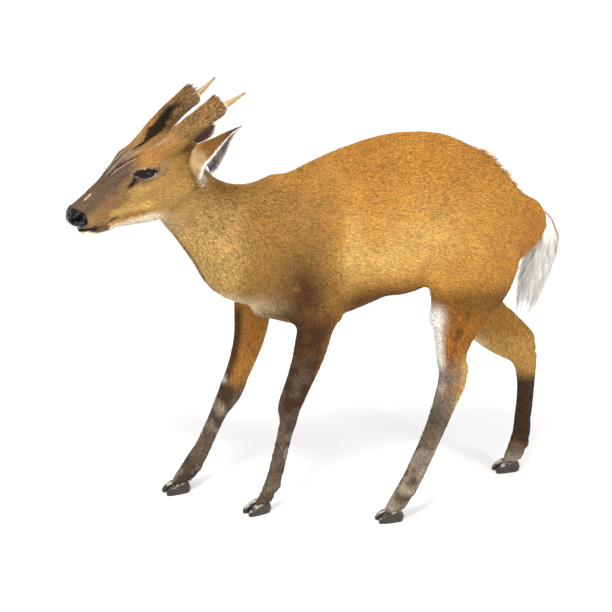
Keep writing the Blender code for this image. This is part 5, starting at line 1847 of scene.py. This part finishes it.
@dataclass
class Tail:
    """The hanging tail: a dock under long white hair that falls past its end.

    Attributes:
        rings: The tail's outline from its root to its lowest tips, in millimetres: along, up, half width, and
            reach to the front and the rear.
        locks: How many locks hang on it.
        quick_share: Not used.
        columns: How many clumps of locks lie side by side, for each radian round the tail.
        rows: How many lie above each other.
        seed: The locks' draw, which the clumps' own draw follows.
    """

    rings: tuple[tuple[float, ...], ...] = (
        (319, 436, 15, 12, 12), (338, 418, 17, 15, 15), (344, 390, 19, 18, 16), (341, 358, 21, 20, 15),
        (335, 328, 18, 19, 13), (328, 296, 14, 14, 11), (320, 266, 8, 8, 8), (315, 248, 3, 4, 3),
    )
    locks: int = 4600
    quick_share: int = 3
    columns: float = 4.0
    rows: float = 15.0
    seed: int = 77

    def build(self, hide: bpy.types.Material, hair: bpy.types.Material) -> None:
        """Builds the dock and its hair."""
        dock = self._dock(hide)
        self._hair(dock, hair)

    def _outline(self, height: Array) -> Array:
        """The outline at heights: along, half width, front and rear reach."""
        table = np.array(self.rings, float)[::-1]
        return np.stack([np.interp(height, table[:, 1], table[:, k]) for k in (0, 2, 3, 4)], axis=1)

    def _point(self, height: Array, angle: Array, reach: Array) -> Array:
        """Places round the tail, at shares of its outline's reach, in the straight body."""
        x, side, front, rear = self._outline(height).T
        c, s = np.cos(angle), np.sin(angle)
        dx = np.where(s > 0, -front * s, -rear * s)
        return np.stack([x + dx * reach, side * c * reach, height], axis=1)

    def _dock(self, finish: bpy.types.Material) -> bpy.types.Object:
        """The tail's flesh, a short tapered stub from inside the rump."""

        def place(angle: float, share: float) -> Vector:
            """A place on the dock."""
            height = 440.0 - 92.0 * share
            reach = 0.66 * (1.0 - 0.85 * share**2.2)
            at = self._point(np.array([height]), np.array([angle]), np.array([reach]))
            at[0, 0] -= 6.0 * (1.0 - share)
            return Vector(ANATOMY.bent(at)[0])

        obj = from_bmesh("dock", tube(place, 28, 20))
        unwrap(obj)
        points = coords(obj.data)
        share = fade(395.0, 425.0, ANATOMY.straight(points)[:, 2])
        set_tint(obj.data, over(Tone.WHITE.light * 0.8, Tone.ORANGE.light, share))
        return dress(obj, finish, "tail", "tail")

    @staticmethod
    def _strand(rings: int) -> Array:
        """The triangles of one lock: three-sided rings, a single point at its tip, and a closed root."""
        faces = []
        for ring in range(0, 3 * (rings - 1), 3):
            for i in range(3):
                j = (i + 1) % 3
                faces += [(ring + i, ring + j, ring + 3 + j), (ring + i, ring + 3 + j, ring + 3 + i)]
        last = 3 * (rings - 1)
        faces += [(last + i, last + (i + 1) % 3, last + 3) for i in range(3)]
        return np.array([*faces, (0, 2, 1)])

    def _hair(self, dock: bpy.types.Object, finish: bpy.types.Material) -> None:
        """The long locks, each a three-sided strand that bends down the outline and narrows to its tip."""
        rng, dice = np.random.default_rng(self.seed), np.random.default_rng(self.seed + 1)
        count = thinned(self.locks, self.quick_share)
        row = rng.random(count)
        angle = rng.uniform(-math.pi, math.pi, count)
        top = 432.0 - 96.0 * row
        column = np.floor((angle + math.pi) * self.columns)
        clump = (column + CLUMPS_ROUND * np.floor(row * self.rows)).astype(int)
        drop = dice.uniform(32.0, 74.0, CLUMPS)[clump] + rng.uniform(-5.0, 5.0, count) + 10.0 * row
        bottom = np.maximum(top - drop, 248.0 + rng.uniform(-2.0, 46.0, count))
        lift = dice.uniform(-0.12, 0.42, CLUMPS)[clump] + rng.normal(0.0, 0.06, count)
        swing = dice.normal(0.0, 0.3, CLUMPS)[clump] + rng.normal(0.0, 0.06, count)
        swing = swing + 0.75 * ((column + 0.5) / self.columns - math.pi - angle)
        stations = np.array([0.0, 0.18, 0.42, 0.7, 1.0])
        reaches = np.array([0.45, 0.74, 0.9, 1.0, 1.1])
        widths = np.array([0.7, 1.0, 0.9, 0.6, 0.0])
        wide = rng.uniform(0.6, 1.15, count)
        spines, outs = [], []
        for t, reach in zip(stations, reaches):
            height = top + (bottom - top) * t
            turn = angle + swing * t + 0.12 * np.sin(6.0 * t + angle * 3.0)
            spines.append(self._point(height, turn, reach + lift * t * t))
            outs.append(np.stack([-np.sin(turn), np.cos(turn), np.zeros(count)], axis=1))
        rings = len(stations) - 1
        points, tones = [], []
        white, brown = Tone.WHITE.light, linear((172, 120, 66))
        rear_top = 0.8 * fade(0.6, 0.95, -np.sin(angle)) * fade(350.0, 410.0, top)
        base = (dice.uniform(0.92, 1.1, CLUMPS)[clump] * rng.uniform(0.94, 1.1, count))[:, None] * white
        base = over(base, brown, rear_top)
        for k in range(rings):
            out = outs[k]
            across = np.stack([-out[:, 1], out[:, 0], np.zeros(count)], axis=1)
            w = (wide * widths[k])[:, None]
            for side, depth in ((-0.5, 0.0), (0.5, 0.0), (0.0, 0.55)):
                points.append(spines[k] + across * w * side + out * w * depth)
                tones.append(base * (0.88 + 0.12 * stations[k]))
        points.append(spines[-1])
        tones.append(base * 1.02)
        points = np.stack(points, axis=1)
        tones = np.stack(tones, axis=1)
        each = 3 * rings + 1
        faces = (self._strand(rings)[None] + each * np.arange(count)[:, None, None]).reshape(-1, 3)
        surface = Surface.of(dock, lambda p, n: np.tile([0.0, 0.0, -1.0], (len(p), 1)))
        nearest = Rooted.draw(surface, np.ones(len(surface.triangles)), count, rng)
        patches = np.empty((count, 2))
        patches[np.argsort(top)] = nearest.patches[np.argsort(ANATOMY.straight(nearest.points)[:, 2])]
        spread = np.stack([np.linspace(-1, 1, each), np.linspace(1, -1, each)], axis=1)
        patches = patches[:, None, :] + spread[None] * PATCH
        flat = ANATOMY.bent(points.reshape(-1, 3))
        made = joined_mesh("tail_hair", flat, faces, patches.reshape(-1, 2), tones.reshape(-1, 3))
        bm = bmesh.new()
        bm.from_mesh(made.data)
        bmesh.ops.recalc_face_normals(bm, faces=bm.faces)
        bm.to_mesh(made.data)
        bm.free()
        dress(made, finish, "tail")


@dataclass
class Whiskers:
    """The few long stiff hairs on the chin and lips."""

    roots: tuple[tuple[float, float, float, float], ...] = (
        (36, -6, -43, 25), (38, 3, -43, 30), (27, -7, -40, 16), (30, 6, -41, 14), (16, -6, -36, 10),
        (22, -13, -20, 13), (17, -13, -14, 12), (28, -15, -15, 14), (22, 13, -20, 13), (17, 13, -14, 12),
        (28, 15, -15, 14), (34, -16, -20, 12), (34, 16, -20, 12),
    )

    def build(self, finish: bpy.types.Material) -> None:
        """Builds them as one mesh of thin tapered curves."""
        curve = bpy.data.curves.new("whiskers", "CURVE")
        curve.dimensions = "3D"
        curve.bevel_depth = 0.0001
        curve.bevel_resolution = 1
        curve.use_fill_caps = True
        for u, y, v, length in self.roots:
            spline = curve.splines.new("POLY")
            steps = 8
            spline.points.add(steps)
            side = math.copysign(1.0, y)
            hang = v < -30
            for k in range(steps + 1):
                t = k / steps
                out = (0.1 if hang else 0.75) * length * t
                down = (1.0 if hang else 0.45) * length * t + 0.12 * length * t * t
                place = ANATOMY.head_point(u + 0.28 * length * t * t, y + side * out, v - down * 0.93)
                spline.points[k].co = (*place, 1.0)
                spline.points[k].radius = 1.0 - 0.8 * t
        holder = new_object("whiskers_line", curve)
        graph = bpy.context.evaluated_depsgraph_get()
        graph.update()
        mesh = bpy.data.meshes.new_from_object(holder.evaluated_get(graph))
        bpy.data.objects.remove(holder)
        obj = new_object("whiskers", mesh)
        set_tint(mesh, np.tile(linear((120, 108, 96)), (len(mesh.vertices), 1)))
        dress(obj, finish, "head")


@dataclass
class Studio:
    """A plain pale floor, soft light, and a camera at the photograph's angle.

    Attributes:
        azimuth: Which way the camera looks, in degrees.
        elevation: How far above the horizon it stands.
        roll: How far it is turned about its own axis.
        distance: How far it is from its target, in metres.
        focal: Its focal length, in pixels of a frame that is frame_width wide.
        target: What it looks at.
        frame_width: How many pixels wide the photograph is.
        sensor: How wide the sensor is, in millimetres.
    """

    azimuth: float = -15.0
    elevation: float = 20.0
    roll: float = 3.0
    distance: float = 4.4
    focal: float = 3142.9
    target: tuple[float, float, float] = (-0.0117, 0.0110, 0.2995)
    frame_width: float = 612.0
    sensor: float = 36.0

    def build(self) -> None:
        """Builds the floor, the lights and the camera."""
        self._floor()
        self._lights()
        self._camera()

    @staticmethod
    def _floor() -> None:
        """A wide pale floor."""
        bm = bmesh.new()
        bmesh.ops.create_grid(bm, x_segments=1, y_segments=1, size=30.0)
        floor = from_bmesh("floor", bm, smooth=False)
        shader = Shader("floor", Roughness=0.9, Specular_IOR_Level=0.1)
        shader.surface.inputs["Base Color"].default_value = (0.9, 0.9, 0.9, 1.0)
        floor.data.materials.append(shader.material)

    def _lights(self) -> None:
        """A white surround, a large soft key above and ahead of the animal, and a fill behind the camera."""
        world = bpy.data.worlds.new("studio")
        world.use_nodes = True
        back = world.node_tree.nodes["Background"]
        back.inputs["Color"].default_value = (1.0, 1.0, 1.0, 1.0)
        back.inputs["Strength"].default_value = 1.0
        bpy.context.scene.world = world
        self._area("key", (-0.7, -1.5, 2.7), 0.8, 74.0, (1.0, 0.98, 0.95))
        self._area("fill", (1.75, -1.9, 1.3), 0.6, 22.0, (0.97, 0.98, 1.0))

    @staticmethod
    def _area(name: str, at: tuple[float, float, float], size: float, power: float, colour: tuple) -> None:
        """A soft light that looks at the animal's middle."""
        lamp = bpy.data.lights.new(name, "AREA")
        lamp.energy = power
        lamp.size = size
        lamp.color = colour
        obj = new_object(name, lamp)
        obj.location = at
        way = Vector(at) - Vector((0, 0, 0.35))
        obj.rotation_euler = way.to_track_quat("Z", "Y").to_euler()

    def _camera(self) -> None:
        """The camera."""
        a, e = math.radians(self.azimuth), math.radians(self.elevation)
        back = Vector((math.sin(a) * math.cos(e), -math.cos(a) * math.cos(e), math.sin(e)))
        right = (-back).cross(Vector((0, 0, 1))).normalized()
        up = right.cross(-back).normalized()
        q = math.radians(self.roll)
        turned_right = right * math.cos(q) + up * math.sin(q)
        turned_up = -right * math.sin(q) + up * math.cos(q)
        data = bpy.data.cameras.new("camera")
        data.sensor_width = self.sensor
        data.lens = self.focal * self.sensor / self.frame_width
        data.clip_end = 100.0
        camera = new_object("camera", data)
        axes = Matrix((turned_right, turned_up, back)).transposed().to_4x4()
        camera.matrix_world = Matrix.Translation(Vector(self.target) + back * self.distance) @ axes
        bpy.context.scene.camera = camera
        bpy.context.scene.view_settings.view_transform = "Standard"


def main() -> None:
    """Builds everything in order."""
    logging.basicConfig(level=logging.INFO, format="%(name)s %(message)s")
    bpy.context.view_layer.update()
    hide = HideFinish().material("undercoat")
    hair = HairFinish().material("short_hair")
    skin = Skin()
    skin.build()
    dress(skin.piece, hide, "torso", *(n for n in FLESH if not n.startswith(("eye", "nose"))))
    Coat().build(skin, hair)
    Eyes().build(skin, EyeFinish().material("eye"), WetSkinFinish(depth=0.0002, tinted=True).material("lids"))
    NosePad().build(skin, WetSkinFinish().material("nose_pad"))
    Antlers().build(HornFinish().material("horn"))
    Hooves().build(HoofFinish().material("hoof"))
    Ears().build(hide, hair)
    Tail().build(hide, HairFinish(0.6, 0.15, 700.0).material("long_hair"))
    Whiskers().build(hair)
    Studio().build()


if __name__ == "__main__":
    main()
